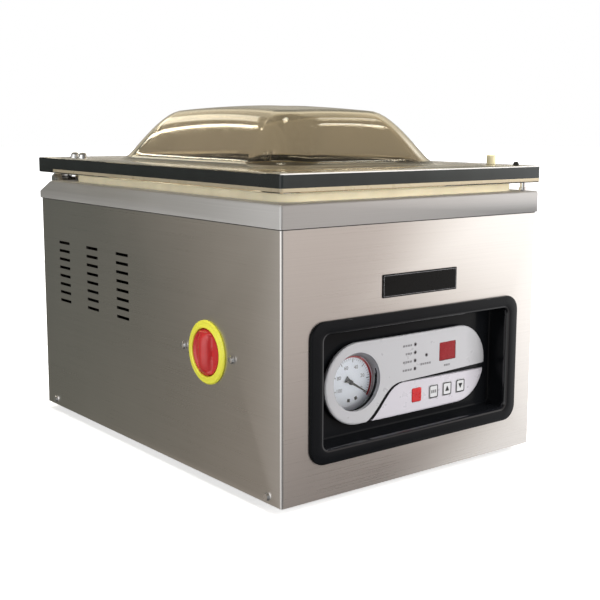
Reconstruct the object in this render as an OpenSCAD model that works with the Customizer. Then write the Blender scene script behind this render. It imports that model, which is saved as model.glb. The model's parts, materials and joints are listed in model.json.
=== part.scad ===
// Countertop vacuum chamber sealer: stainless housing, acrylic domed lid, chamber with lifting seal bar,
// rotary vane pump, recessed control panel and rotary isolator switch.
// Frame: +X to the machine's right seen from the front, +Y to the rear, +Z up.
// Origin: centre of the housing's footprint, on the surface that the rubber feet stand on. Millimetres.

/* [Housing] */
// Width of the housing
body_w = 330; // [320:1:345]
// Depth of the housing
body_d = 476; // [470:1:490]
// Height of the deck above the surface the machine stands on
deck_z = 278; // [270:1:290]
// Height of the rubber feet
foot_h = 8; // [6:1:12]
// Thickness of the housing's sheet steel
sheet = 1.5; // [1:0.25:2]
// Height of the deck's skirt
skirt_h = 21.5; // [18:0.5:26]

/* [Lid] */
// Thickness of the acrylic plate
lid_t = 17; // [15:0.5:20]
// Gap between the deck and the lid's underside
lid_gap = 9; // [8:0.5:12]
// Height of the dome above the lid's flat rim
dome_h = 61; // [50:1:66]
// Half width of the dome's foot
dome_a = 118; // [105:1:122]
// Half length of the dome's foot
dome_b = 162; // [140:1:166]
// Width of the dome's S shaped flank
dome_flank = 64; // [50:1:70]
// Angle from closed to fully open
lid_open = 60; // [40:5:60]

/* [Chamber] */
// Inside width of the chamber
chamber_w = 280; // [260:1:282]
// Inside length of the chamber
chamber_l = 380; // [360:1:382]
// Inside depth of the chamber, below the deck
chamber_h = 70; // [60:1:75]
// Upward travel of the seal bar
bar_travel = 8; // [6:0.5:8]

/* [Controls] */
// Width of the control panel's bezel
bezel_w = 272; // [268:1:280]
// Height of the control panel's bezel
bezel_h = 132; // [128:1:138]
// Depth of the face panel behind the front sheet
face_depth = 12; // [10:1:14]
// Outer diameter of the yellow switch ring
ring_d = 62; // [58:1:66]

/* [Hidden] */
$fn = 48;
eps = 0.01;

// Heights and edges that several pieces share
half_w = body_w / 2;
half_d = body_d / 2;
front_y = -half_d;
skirt_z = deck_z - skirt_h;
skirt_out = 1.7;                       // how far the deck's skirt stands outside the housing
lid_z = deck_z + lid_gap;              // underside of the lid
lid_top = lid_z + lid_t;
lid_half_w = half_w + 2.2;
lid_front_y = front_y - 2.6;
lid_rear_y = half_d + 3.5;
lid_mid_y = (lid_front_y + lid_rear_y) / 2;
lid_half_d = (lid_rear_y - lid_front_y) / 2;

// Chamber, groove and gasket
chamber_y = -20;                       // centre of the chamber
chamber_r = 8;
chamber_floor = deck_z - chamber_h;
gasket_w = 11;
lip = 2;                               // steel between the chamber's mouth and the gasket's groove
gasket_ow = chamber_w + 2 * (lip + gasket_w);
gasket_ol = chamber_l + 2 * (lip + gasket_w);
gasket_r = chamber_r + lip + gasket_w;
groove_z = deck_z - 6;

// Bevel at the rear of the deck, and the hinge over it
bevel_y = half_d - 29.4;
bevel_z = deck_z - 13.5;
rear_skirt_y = half_d + skirt_out;
bevel_run = rear_skirt_y - bevel_y;
bevel_drop = deck_z - bevel_z;
bevel_len = norm([bevel_run, bevel_drop]);
bevel_tilt = atan(bevel_drop / bevel_run);
hinge_x = 134;
hinge_y = half_d - 12;
hinge_z = deck_z + 1;
pin_r = 3;
running = 0.05;                        // radial clearance of a shaft that turns or slides
barrel_r = 6;
ear_r = 6.5;
ear_t = 6;
leaf_half = 13;                        // half the width of a hinge leaf
ear_in = leaf_half + 1;                // from the hinge's middle to an ear's inner face
bolt_y = [half_d - 46, half_d - 26];   // the two bolts of each hinge, one behind the other
bolt_r = 3;
leaf_t = 2.5;

// Fittings at the front right corner of the lid, and the lid switch under it
corner_screw = [150, front_y + 16];
lid_plug_at = [145, front_y + 46];
switch_pin_x = 156;
switch_pin_y = front_y + 11;
switch_pin_r = 3;
bush_r = 4.2;

// Seal bar and its counter bar
bar_y = front_y + 41;
bar_w = 18;
bar_l = 258;
bar_top = lid_z - 18.6;
bar_z = bar_top - 24;
rod_x = 95;
rod_r = 5;
piston_r = 14;

// Control panel
bezel_x = 2;
bezel_z = 106.2;
bezel_r = 16;
bezel_t = 3;
tray_w = 241.5;
tray_h = 105;
tray_r = 6;
tray_z = 107;
tray_wall = 2.5;
tray_back_y = front_y + 20;
face_y = front_y + face_depth;
face_w = 214;
face_h = 78.6;
face_x = 2.2;
face_z = 105;
split_z = 98.4;
split_gap = 1.1;
gauge_hole = [-66.8, 106.6, 28.2];      // x, z and radius of the round window in the upper fascia
gauge_x = -65.2;
gauge_z = 103.8;
gauge_r = 28;
dial_y = face_y + 13;
needle_rest = -33;                     // angle of the needle at no vacuum, from +X towards +Z
key_w = 12.6;
key_h = 13.8;
key_z = 82.5;
key_x = [9.5, 32.8, 52.1, 71.5];
key_proud = 0.8;
key_travel = 1;
display_x = 51.9;
display_z = 121.4;
display_w = 23.5;
display_h = 18.8;
lens_x = 6.7;
lens_z = [133.6, 125.6, 117.5, 109.5];
mode_lens = [22.1, 121.1];

// Vent slots
vent_y = 45;
vent_z = 139.2;
vent_w = 26.5;
vent_h = 3.2;
vent_step = 68.6;
vent_pitch = 9.7;

// Isolator switch on the left side
iso_y = front_y + 117.5;
iso_z = 130.3;
iso_screw = 41.9;                      // from the switch's centre to each screw

// Pump and motor, on one axis along X
pump_y = 125;
pump_z = 100;
shaft_r = 8;
motor_r = 60;
motor_x0 = -118;
motor_x1 = -6;
block_x1 = 104;
block_y0 = 70;
block_y1 = 180;
block_z0 = 34;
block_z1 = 160;
mount_h = 18;
hose_x = 84;
hose_r = 8;
hose_bend = 22;
port_z = 240;
pump_port_z = 130;

// ---------- helpers ----------

// Outline of a rounded rectangle about the origin
function rounded(w, d, r, n = 6) = [
    for (c = [0:3]) for (i = [0:n])
        let (a = 90 * c + 90 * i / n,
             sx = (c == 0 || c == 3) ? 1 : -1,
             sy = c < 2 ? 1 : -1)
        [sx * (w / 2 - r) + r * cos(a), sy * (d / 2 - r) + r * sin(a)]
];

module box(lo, hi) { translate(lo) cube(hi - lo); }

module slab(w, d, r, z0, z1, y = 0) {
    translate([0, y, z0]) linear_extrude(z1 - z0) polygon(rounded(w, d, r));
}

// A cylinder along X, Y or Z between two coordinates of that axis
module cyl_x(r, x0, x1, y, z) { translate([x0, y, z]) rotate([0, 90, 0]) cylinder(r = r, h = x1 - x0); }
module cyl_y(r, y0, y1, x, z) { translate([x, y0, z]) rotate([-90, 0, 0]) cylinder(r = r, h = y1 - y0); }
module cyl_z(r, z0, z1, x, y) { translate([x, y, z0]) cylinder(r = r, h = z1 - z0); }

// A shape drawn in X and Z, between two values of Y
module upright(y0, y1) { translate([0, y1, 0]) rotate([90, 0, 0]) linear_extrude(y1 - y0) children(); }

// A shape drawn in Y and Z, between two values of X
module across(x0, x1) { translate([x0, 0, 0]) rotate([90, 0, 90]) linear_extrude(x1 - x0) children(); }

// A shape drawn on the bevel: X across the machine, Y down the slope, Z out of the sheet
module on_bevel() { translate([0, bevel_y, deck_z]) rotate([-bevel_tilt, 0, 0]) children(); }

// Faces of a tube of rings, each ring with n points, closed by a fan at both ends
function tube_faces(rings, n) = concat(
    [for (k = [0:rings - 2]) for (i = [0:n - 1])
        let (j = (i + 1) % n)
        [k * n + i, k * n + j, (k + 1) * n + j, (k + 1) * n + i]],
    [for (i = [0:n - 1]) [rings * n, (i + 1) % n, i]],
    [for (i = [0:n - 1]) [rings * n + 1, (rings - 1) * n + i, (rings - 1) * n + (i + 1) % n]]
);

module pan_head(r, h) {
    cylinder(r1 = r, r2 = r * 0.75, h = h);
}

// ---------- housing ----------

module base_pan() {
    w = body_w - 2 * sheet - 0.4;
    d = body_d - 2 * sheet - 0.4;
    color("silver") difference() {
        translate([0, 0, foot_h]) linear_extrude(16) polygon(rounded(w, d, 1.5, 4));
        box([-w / 2 + sheet, -d / 2 + sheet, foot_h + sheet], [w / 2 - sheet, d / 2 - sheet, foot_h + 17]);
        for (x = [-1, 1], y = [-1, 1])
            cyl_z(3.2, foot_h - 1, foot_h + 4, x * foot_x(), y * foot_y());
        for (x = [-1, 1], y = [-1, 1])
            cyl_x(2, x * half_w - 8, x * half_w + 8, y * pan_screw_y(), pan_screw_z());
    }
}

function foot_x() = half_w - 42;
function foot_y() = half_d - 45;
function pan_screw_y() = half_d - 21;
function pan_screw_z() = foot_h + 6.5;

// Plan outline of the wrap: front, two sides and narrow returns at the rear
function wrap_outline(inset, r, back) = [
    for (p = [[half_w - inset, back], each corner(half_w - inset, front_y + inset, r, 0),
              each corner(-half_w + inset, front_y + inset, r, -90), [-half_w + inset, back]]) p
];
function corner(x, y, r, start, n = 5) = [
    for (i = [0:n]) let (a = start - 90 * i / n)
        [x - sign(x) * r + r * cos(a), y + r + r * sin(a)]
];

// Three columns of eight slots through a side wall
module vent_slots(x0, x1) {
    for (col = [0:2], row = [0:7])
        translate([0, vent_y + vent_step * col, vent_z + vent_pitch * row])
            box([x0, -vent_w / 2, -vent_h / 2], [x1, vent_w / 2, vent_h / 2]);
}

module outer_wrap() {
    top = deck_z - sheet - 0.1;
    ret = 14;
    color("silver") difference() {
        union() {
            translate([0, 0, foot_h]) linear_extrude(top - foot_h) difference() {
                polygon(wrap_outline(0, 2.5, half_d));
                polygon(wrap_outline(sheet, 1, half_d + 1));
            }
            for (s = [-1, 1])
                box([s * (half_w - ret / 2) - ret / 2, half_d - sheet, foot_h],
                    [s * (half_w - ret / 2) + ret / 2, half_d, skirt_z]);
        }
        // room for the bevel at the rear
        across(-half_w - 1, half_w + 1)
            polygon([[bevel_y - 2, deck_z + 1], [half_d + 1, deck_z + 1], [half_d + 1, bevel_z - 4], [bevel_y - 2, deck_z - 3]]);
        upright(front_y - 1, front_y + 3) translate([bezel_x, tray_z]) square([tray_w + 12, tray_h + 12], center = true);
        vent_slots(-half_w - 1, -half_w + 3);
        vent_slots(half_w - 3, half_w + 1);
        cyl_x(24.5, -half_w - 1, -half_w + 3, iso_y, iso_z);
        for (s = [-1, 1]) cyl_x(2.2, -half_w - 1, -half_w + 3, iso_y + s * iso_screw, iso_z);
        for (x = [-1, 1], y = [-1, 1])
            cyl_x(2, x * half_w - 3, x * half_w + 3, y * pan_screw_y(), pan_screw_z());
        for (x = [-1, 1], z = [40, 130, 220])
            cyl_y(2, half_d - 3, half_d + 1, x * (half_w - 8), z);
    }
}

module rear_panel() {
    color("silver") difference() {
        upright(half_d + 0.05, half_d + 0.05 + sheet) translate([0, (foot_h + skirt_z) / 2])
            square([body_w - 4, skirt_z - foot_h - 3], center = true);
        for (col = [-1:1], row = [0:7])
            translate([vent_step * col, 0, vent_z + vent_pitch * row])
                box([-vent_w / 2, half_d - 1, -vent_h / 2], [vent_w / 2, half_d + 3, vent_h / 2]);
        box([inlet_x() - 14, half_d - 1, inlet_z() - 10], [inlet_x() + 14, half_d + 3, inlet_z() + 10]);
        for (z = [40, 130, 220], x = [-1, 1]) cyl_y(2, half_d - 1, half_d + 3, x * (half_w - 8), z);
    }
}

module top_deck() {
    color("silver") difference() {
        across(-half_w - skirt_out, half_w + skirt_out)
            polygon([[front_y - skirt_out, skirt_z], [front_y - skirt_out, deck_z], [bevel_y, deck_z],
                     [rear_skirt_y, bevel_z], [rear_skirt_y, skirt_z]]);
        across(-half_w - 0.2, half_w + 0.2)
            polygon([[front_y - 0.2, skirt_z - 1], [front_y - 0.2, deck_z - sheet], [bevel_y - 0.3, deck_z - sheet],
                     [rear_skirt_y - sheet, bevel_z - 1.1], [rear_skirt_y - sheet, skirt_z - 1]]);
        slab(gasket_ow + 1, gasket_ol + 1, gasket_r + 0.5, deck_z - 5, deck_z + 1, chamber_y);
        cyl_z(bush_r + 0.2, deck_z - 5, deck_z + 1, switch_pin_x, switch_pin_y);
        on_bevel() for (s = [-1, 1], e = [-1, 1])
            translate([s * hinge_x + e * (ear_in + ear_t / 2), stud_s(), -5]) cylinder(r = 2.6, h = 10);
    }
}

function stud_s() = (hinge_y - bevel_y) * cos(bevel_tilt) + 1;

module rubber_feet() {
    color("dimgray") for (x = [-1, 1], y = [-1, 1]) translate([x * foot_x(), y * foot_y(), 0]) {
        rotate_extrude() polygon([[0, 0], [13, 0], [14.5, 1.5], [16, foot_h], [0, foot_h]]);
        cylinder(r = 3, h = foot_h + 5);
        translate([0, 0, foot_h + sheet]) cylinder(r = 5.5, h = 3.5, $fn = 6);
    }
}

module panel_screws() {
    color("gainsboro") {
        for (x = [-1, 1], y = [-1, 1]) translate([x * half_w, y * pan_screw_y(), pan_screw_z()]) rotate([0, x * 90, 0]) {
            pan_head(4, 2.4);
            translate([0, 0, -6]) cylinder(r = 1.9, h = 6.1);
        }
        for (x = [-1, 1], z = [40, 130, 220])
            translate([x * (half_w - 8), half_d + 0.05 + sheet, z]) rotate([-90, 0, 0]) {
                pan_head(4, 2.4);
                translate([0, 0, -7]) cylinder(r = 1.9, h = 7.1);
            }
    }
}

module name_plate() {
    color("black") upright(front_y - 1, front_y) translate([0, 197]) polygon(rounded(97, 22, 1, 3));
}

// ---------- control panel ----------

module control_bezel() {
    color([0.1, 0.1, 0.11]) difference() {
        union() {
            upright(front_y - bezel_t, front_y) translate([bezel_x, bezel_z]) polygon(rounded(bezel_w, bezel_h, bezel_r, 8));
            upright(front_y - 1, tray_back_y + tray_wall) translate([bezel_x, tray_z])
                polygon(rounded(tray_w + 2 * tray_wall, tray_h + 2 * tray_wall, tray_r + tray_wall, 5));
        }
        upright(front_y - bezel_t - 1, tray_back_y) translate([bezel_x, tray_z]) polygon(rounded(tray_w, tray_h, tray_r, 5));
        cyl_y(gauge_r + 0.3, tray_back_y - 1, tray_back_y + 10, gauge_x, gauge_z);
        for (x = key_x) upright(tray_back_y - 1, tray_back_y + 4)
            translate([x, key_z]) square([key_w - 3, key_h - 3], center = true);
        upright(tray_back_y - 1, tray_back_y + 4) translate([display_x, display_z])
            square([display_w - 2, display_h - 2], center = true);
    }
}

// The stadium outline of the face panel
module stadium() {
    straight = face_w - face_h;
    translate([face_x, face_z]) {
        square([straight, face_h], center = true);
        for (s = [-1, 1]) translate([s * straight / 2, 0]) circle(r = face_h / 2);
    }
}

// A point on the S shaped split between the two fascias, for t from 0 at its foot to 1 at its shoulder
split_control = [[-54, face_z - face_h / 2 - 1], [-34.5, 76], [-30, split_z], [-9, split_z]];
function split_point(t) =
    pow(1 - t, 3) * split_control[0] + 3 * t * pow(1 - t, 2) * split_control[1]
    + 3 * t * t * (1 - t) * split_control[2] + pow(t, 3) * split_control[3];

// Everything under the split line, moved off it by a gap
module under_split(gap) {
    foot = split_control[0] + gap * [-0.8, 0];
    polygon([[foot[0], foot[1] - 5], [130, foot[1] - 5], [130, split_z + gap],
             for (i = [12:-1:1]) split_point(i / 12) + gap * [-0.8, 0.7],
             foot]);
}

module face_openings() {
    for (x = key_x) translate([x, key_z]) square([key_w + 0.5, key_h + 0.5], center = true);
    translate([display_x, display_z]) square([display_w + 0.4, display_h + 0.4], center = true);
    translate([gauge_hole[0], gauge_hole[1]]) circle(r = gauge_hole[2]);
}

module lens_rods(r, y0, y1) {
    for (z = lens_z) cyl_y(r, y0, y1, lens_x, z);
    cyl_y(r, y0, y1, mode_lens[0], mode_lens[1]);
}

module control_fascia() {
    color([0.8, 0.81, 0.82]) difference() {
        upright(face_y, tray_back_y) difference() {
            stadium();
            under_split(split_gap);
            face_openings();
        }
        lens_rods(1.5, face_y - 1, tray_back_y + 1);
    }
}

module lower_fascia() {
    color([0.8, 0.81, 0.82]) upright(face_y + 0.4, tray_back_y) difference() {
        intersection() {
            stadium();
            under_split(-split_gap);
        }
        face_openings();
    }
}

module display_window() {
    color("darkred") upright(face_y + 1, tray_back_y) translate([display_x, display_z])
        square([display_w, display_h], center = true);
}

module indicator_lenses() {
    color([0.15, 0.15, 0.15]) lens_rods(1.35, face_y - 0.3, tray_back_y);
}

module key(x) {
    translate([x, 0, 0]) {
        upright(face_y - key_proud, face_y + 2.5) translate([0, key_z]) polygon(rounded(key_w, key_h, 1.5, 4));
        upright(face_y + 2, tray_back_y + tray_wall + 1) translate([0, key_z]) square([key_w - 4, key_h - 4], center = true);
    }
}
module start_key() { color("red") key(key_x[0]); }
module set_key() { color("gainsboro") key(key_x[1]); }
module up_key() { color("gainsboro") key(key_x[2]); }
module down_key() { color("gainsboro") key(key_x[3]); }

module gauge_case() {
    color("silver") difference() {
        union() {
            cyl_y(gauge_r, tray_back_y + 0.2, dial_y + 16, gauge_x, gauge_z);
            cyl_y(5, dial_y + 15, dial_y + 32, gauge_x, gauge_z - 12);
        }
        cyl_y(gauge_r - 1, tray_back_y - 1, dial_y + 2, gauge_x, gauge_z);
        cyl_y(gauge_r - 4, dial_y + 1, dial_y + 13, gauge_x, gauge_z);
    }
}

module gauge_dial() {
    color("white") difference() {
        cyl_y(gauge_r - 1.1, dial_y + 1, dial_y + 2, gauge_x, gauge_z);
        cyl_y(1.3, dial_y, dial_y + 3, gauge_x, gauge_z);
    }
}

module gauge_needle() {
    color("black") {
        cyl_y(3, dial_y - 1.2, dial_y + 0.2, gauge_x, gauge_z);
        cyl_y(1.25, dial_y, dial_y + 8, gauge_x, gauge_z);
        translate([gauge_x, 0, gauge_z]) rotate([0, -needle_rest, 0]) upright(dial_y - 0.9, dial_y - 0.3)
            polygon([[-8, -3], [-8, 3], [0, 1.2], [22.5, 0.35], [22.5, -0.35], [0, -1.2]]);
    }
}

module gauge_glass() {
    color([0.8, 0.9, 0.95, 0.3]) cyl_y(gauge_r - 1.2, dial_y - 4, dial_y - 2.5, gauge_x, gauge_z);
}

module control_board() {
    y = tray_back_y + 14;
    color("darkgreen") {
        box([-30, y, 62], [108, y + 1.6, 150]);
        for (x = [-24, 102], z = [68, 144]) cyl_y(3, tray_back_y + tray_wall, y, x, z);
    }
    color("dimgray") {
        box([display_x - 12, y - 8, display_z - 10], [display_x + 12, y, display_z + 10]);
        for (x = key_x) box([x - 4, y - 5, key_z - 4], [x + 4, y, key_z + 4]);
        box([-10, y + 1.6, 75], [20, y + 18, 100]);
        box([60, y + 1.6, 70], [90, y + 20, 95]);
    }
}

// ---------- isolator switch ----------

module switch_ring() {
    r = ring_d / 2;
    color("yellow") translate([-half_w, iso_y, iso_z]) rotate([0, -90, 0]) rotate_extrude()
        polygon([[23.2, -6], [24, -6], [24, 0], [r, 0], [r, 1.2], [r - 1.5, 2.6], [r - 4, 2.6], [r - 5.5, 3.4], [24.2, 3.4], [23.2, 2.6]]);
}

module switch_knob() {
    color("red") translate([-half_w, iso_y, iso_z]) rotate([0, -90, 0]) {
        rotate_extrude() polygon([[0, -5], [21, -5], [22.5, -4], [22.5, 1.6], [21.3, 2.6], [19, 1.2], [0, 1.2]]);
        translate([0, 0, 1]) linear_extrude(8) polygon(rounded(38, 11, 5, 5));
        translate([0, 0, -14]) cylinder(r = 4, h = 10);
    }
}

module switch_body() {
    color([0.12, 0.12, 0.12]) translate([-half_w + sheet, iso_y, iso_z]) rotate([0, 90, 0]) difference() {
        union() {
            translate([0, 0, 4.7]) linear_extrude(38) square([52, 52], center = true);
            linear_extrude(6) square([10, 2 * iso_screw + 12], center = true);
        }
        translate([0, 0, -1]) cylinder(r = 24.6, h = 8);
        translate([0, 0, 2]) cylinder(r = 4 + running, h = 20);
        for (s = [-1, 1]) translate([0, s * iso_screw, -1]) cylinder(r = 1.95, h = 9);
    }
}

module switch_screws() {
    color("gainsboro") for (s = [-1, 1]) translate([-half_w, iso_y + s * iso_screw, iso_z]) rotate([0, -90, 0]) {
        rotate_extrude() polygon([[0, 0], [4, 0], [4, 1.2], [3, 2.6], [0, 3]]);
        translate([0, 0, -6]) cylinder(r = 1.9, h = 6.1);
    }
}

// ---------- lid ----------

function smooth(t) = pow(3 * t * t - 2 * t * t * t, 0.59);
crown = 0.23;

// Height of a dome surface of height h at (x, y), where the outline has been drawn in by d of its flank
function dome_height(h, d, flank, x, y) =
    h * smooth(min(1, d / flank)) * (1 + crown * (1 - pow(x / dome_a, 2)) * (1 - pow(y / dome_b, 2))) / (1 + crown);

// One ring of the lid: a rounded rectangle with points along its straight sides too
function ring_points(a, b, r, y, n = 7, m = 4) = [
    for (c = [0:3]) let (
        sx = (c == 0 || c == 3) ? 1 : -1, sy = c < 2 ? 1 : -1,
        nx = c == 0 || c == 1 ? -1 : 1, ny = (c == 0 || c == 3) ? 1 : -1,
        e = [sx * (a - r) + r * cos(90 * c + 90), sy * (b - r) + r * sin(90 * c + 90)],
        s = [nx * (a - r) + r * cos(90 * c + 90), ny * (b - r) + r * sin(90 * c + 90)])
        each concat(
            [for (i = [0:n]) [sx * (a - r) + r * cos(90 * c + 90 * i / n), y + sy * (b - r) + r * sin(90 * c + 90 * i / n)]],
            [for (j = [1:m]) [e[0] + (s[0] - e[0]) * j / (m + 1), y + e[1] + (s[1] - e[1]) * j / (m + 1)]])
];

dome_y = -1;
dome_r = 52;
dome_top_t = 9;                        // thickness of the acrylic at the dome's crown
insets = [0, 4, 9, 15, 22, 30, 40, 52, 64, 84, 104];

// A dome ring drawn in by d, on the outer surface or, with under = 1, on the inner one
function dome_ring(d, under) =
    let (shrink = 7 * under,
         base = under == 1 ? lid_z : lid_top,
         h = dome_h + under * (lid_t - dome_top_t))
    [for (p = ring_points(dome_a - shrink - d, dome_b - shrink - d, max(dome_r - shrink - d, 6), 0))
        [p[0], p[1] + dome_y, base + dome_height(h, d, dome_flank - 4 * under, p[0], p[1])]];

function flat_ring(inset, z) =
    [for (p = ring_points(lid_half_w - inset, lid_half_d - inset, 3 - inset / 2, lid_mid_y)) [p[0], p[1], z]];

lid_rings = concat(
    [for (k = [len(insets) - 1:-1:0]) dome_ring(insets[k], 0)],
    [flat_ring(1, lid_top), flat_ring(0, lid_top - 1), flat_ring(0, lid_z + 1), flat_ring(1, lid_z)],
    [for (k = [0:len(insets) - 1]) dome_ring(insets[k], 1)]);
ring_n = len(lid_rings[0]);

module lid() {
    points = concat([for (r = lid_rings) each r],
        [[0, dome_y, lid_top + dome_h], [0, dome_y, lid_z + dome_h + lid_t - dome_top_t]]);
    color([0.75, 0.7, 0.6, 0.4]) difference() {
        polyhedron(points, tube_faces(len(lid_rings), ring_n), convexity = 4);
        for (s = [-1, 1], y = bolt_y) cyl_z(bolt_r + 0.2, lid_z - 2, lid_top + 2, s * hinge_x, y);
        for (p = [corner_screw, lid_plug_at]) cyl_z(2, lid_top - 10, lid_top + 2, p[0], p[1]);
    }
}

module chamber_gasket() {
    color([0.93, 0.89, 0.75]) difference() {
        slab(gasket_ow - 0.2, gasket_ol - 0.2, gasket_r, groove_z + 0.05, lid_z - 0.2, chamber_y);
        slab(gasket_ow - 2 * gasket_w + 0.2, gasket_ol - 2 * gasket_w + 0.2, gasket_r - gasket_w, groove_z - 1, lid_z + 1, chamber_y);
    }
}

counter_z = lid_z - 6;
module counter_bar() {
    color("silver") difference() {
        box([-bar_l / 2, bar_y - bar_w / 2, counter_z - 2], [bar_l / 2, bar_y + bar_w / 2, lid_z]);
        box([-bar_l / 2 - 1, bar_y - 6, counter_z - 3], [bar_l / 2 + 1, bar_y + 6, counter_z]);
    }
}

module counter_strip() {
    color([0.85, 0.35, 0.2]) box([-bar_l / 2 + 2, bar_y - 6, counter_z - 3.7], [bar_l / 2 - 2, bar_y + 6, counter_z]);
}

module corner_screw() {
    color("dimgray") translate([corner_screw[0], corner_screw[1], lid_top]) rotate_extrude()
        polygon([[0, -9.5], [1.9, -9.5], [1.9, 0], [3.2, 0], [3.2, 1.2], [2, 3.6], [0, 4]]);
}

module lid_plug() {
    color([0.95, 0.93, 0.8]) translate([lid_plug_at[0], lid_plug_at[1], lid_top]) rotate_extrude()
        polygon([[0, -9.5], [1.9, -9.5], [1.9, 0], [4.8, 0], [4.8, 9.5], [3.8, 10.5], [0, 10.5]]);
}

module lid_bolts() {
    color("gainsboro") for (s = [-1, 1], y = bolt_y) translate([s * hinge_x, y, 0]) {
        cyl_z(bolt_r, lid_z - leaf_t - 0.5, lid_top + 1, 0, 0);
        translate([0, 0, lid_top]) rotate_extrude() polygon([[0, 0], [6, 0], [6, 1.2], [4.6, 1.2], [4.6, 3.6], [3.4, 5.6], [0, 6.4]]);
        translate([0, 0, lid_z - leaf_t - 2.8]) cylinder(r = 5, h = 2.8, $fn = 6);
    }
}

// ---------- hinges ----------

module hinge_leaf(s) {
    x = s * hinge_x;
    color("silver") difference() {
        union() {
            box([x - leaf_half, bolt_y[0] - 6.5, lid_z - leaf_t], [x + leaf_half, hinge_y + 3, lid_z]);
            for (e = [-1, 1]) {
                cyl_x(barrel_r, x + e * 9.5 - 3.5, x + e * 9.5 + 3.5, hinge_y, hinge_z);
                box([x + e * 9.5 - 3.5, hinge_y - 5, hinge_z + 3], [x + e * 9.5 + 3.5, hinge_y + 3, lid_z - 1]);
            }
        }
        cyl_x(pin_r + running, x - 20, x + 20, hinge_y, hinge_z);
        for (y = bolt_y) cyl_z(bolt_r + 0.1, lid_z - 5, lid_z + 1, x, y);
    }
}
module hinge_leaf_left() { hinge_leaf(-1); }
module hinge_leaf_right() { hinge_leaf(1); }

module hinge_base(s) {
    x = s * hinge_x;
    pivot_s = (hinge_y - bevel_y) * cos(bevel_tilt) - (hinge_z - deck_z) * sin(bevel_tilt);
    pivot_h = (hinge_y - bevel_y) * sin(bevel_tilt) + (hinge_z - deck_z) * cos(bevel_tilt);
    color("dimgray") difference() {
        on_bevel() translate([x, 0, 0]) {
            translate([-ear_in - ear_t, pivot_s - 12, 0]) cube([2 * (ear_in + ear_t), 22, 1.4]);
            for (e = [-1, 1]) translate([e * (ear_in + ear_t / 2) - ear_t / 2, 0, 0]) {
                rotate([90, 0, 90]) linear_extrude(ear_t)
                    polygon([[pivot_s - 11, 0], [pivot_s + 9, 0], [pivot_s + 9, 1.4], [pivot_s + ear_r * 0.9, pivot_h + ear_r * 0.3],
                             [pivot_s - ear_r * 0.9, pivot_h + ear_r * 0.3], [pivot_s - 11, 1.4]]);
                translate([0, pivot_s, pivot_h]) rotate([0, 90, 0]) cylinder(r = ear_r, h = ear_t);
            }
            for (e = [-1, 1]) translate([e * (ear_in + ear_t / 2), stud_s(), -11]) cylinder(r = 2.4, h = 12);
        }
        cyl_x(pin_r + 0.02, x - 30, x + 30, hinge_y, hinge_z);
    }
}
module hinge_base_left() { hinge_base(-1); }
module hinge_base_right() { hinge_base(1); }

module hinge_pins() {
    reach = ear_in + ear_t;
    color("gainsboro") for (s = [-1, 1]) {
        cyl_x(pin_r, s * hinge_x - reach - 0.5, s * hinge_x + reach + 0.5, hinge_y, hinge_z);
        for (e = [-1, 1]) translate([s * hinge_x + e * (reach + 1.1) - 0.9, hinge_y, hinge_z]) rotate([0, 90, 0]) cylinder(r = 4.6, h = 1.8);
    }
}

wire_r = 0.8;
coil_r = 4.2;
coil_turns = 4;
coil_steps = 12;

coil_count = coil_turns * coil_steps + coil_steps / 2;

// Centre line of a torsion spring: a leg under the leaf, the coil round the pin, a leg down to the base
function spring_path(x) = concat(
    [[x - coil_r, hinge_y - 8, hinge_z + coil_r + 0.3], [x - coil_r, hinge_y - 3, hinge_z + coil_r + 0.1]],
    [for (i = [0:coil_count]) let (a = 90 + 360 * i / coil_steps)
        [x + coil_r * (2 * i / coil_count - 1), hinge_y + coil_r * cos(a), hinge_z + coil_r * sin(a)]],
    [[x + coil_r, hinge_y + 4, hinge_z - coil_r - 3.4]]);

function unit(v) = v / norm(v);
function sweep_ring(path, k, r, n) =
    let (t = unit(path[min(k + 1, len(path) - 1)] - path[max(k - 1, 0)]),
         side = unit([1, 0, 0] - t * t[0]),
         up = cross(t, side))
    [for (i = [0:n - 1]) path[k] + r * (cos(360 * i / n) * side + sin(360 * i / n) * up)];

module sweep(path, r, n) {
    points = concat([for (k = [0:len(path) - 1]) each sweep_ring(path, k, r, n)], [path[0], path[len(path) - 1]]);
    polyhedron(points, tube_faces(len(path), n), convexity = 8);
}

module hinge_springs() {
    color("gainsboro") for (s = [-1, 1]) sweep(spring_path(s * hinge_x), wire_r, 6);
}

// ---------- chamber ----------

module chamber_tub() {
    color("silver") difference() {
        union() {
            slab(gasket_ow + 14, gasket_ol + 14, gasket_r + 7, deck_z - 9.5, deck_z - sheet, chamber_y);
            slab(gasket_ow + 0.6, gasket_ol + 0.6, gasket_r + 0.3, deck_z - 9.5, deck_z, chamber_y);
            slab(chamber_w + 2 * sheet, chamber_l + 2 * sheet, chamber_r + sheet, chamber_floor - sheet, deck_z - 8, chamber_y);
        }
        slab(chamber_w, chamber_l, chamber_r, chamber_floor, deck_z + 1, chamber_y);
        difference() {
            slab(gasket_ow, gasket_ol, gasket_r, groove_z, deck_z + 1, chamber_y);
            slab(gasket_ow - 2 * gasket_w, gasket_ol - 2 * gasket_w, gasket_r - gasket_w, groove_z - 1, deck_z + 2, chamber_y);
        }
        for (s = [-1, 1]) cyl_z(rod_r + running, chamber_floor - 5, chamber_floor + 5, s * rod_x, bar_y);
        cyl_y(7, chamber_y + chamber_l / 2 - 5, chamber_y + chamber_l / 2 + 5, hose_x, port_z);
        cyl_z(4, chamber_floor - 5, chamber_floor + 5, valve_x(), valve_y());
    }
}

function valve_x() = 110;
function valve_y() = -110;

module filler_plates() {
    y0 = bar_y + bar_w / 2 + 8;
    l = (chamber_y + chamber_l / 2 - 4 - y0 - 3) / 2;
    color("white") for (k = [0, 1])
        slab(chamber_w - 8, l, 6, chamber_floor + 0.1, chamber_floor + 16, y0 + l / 2 + k * (l + 3));
}

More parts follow.
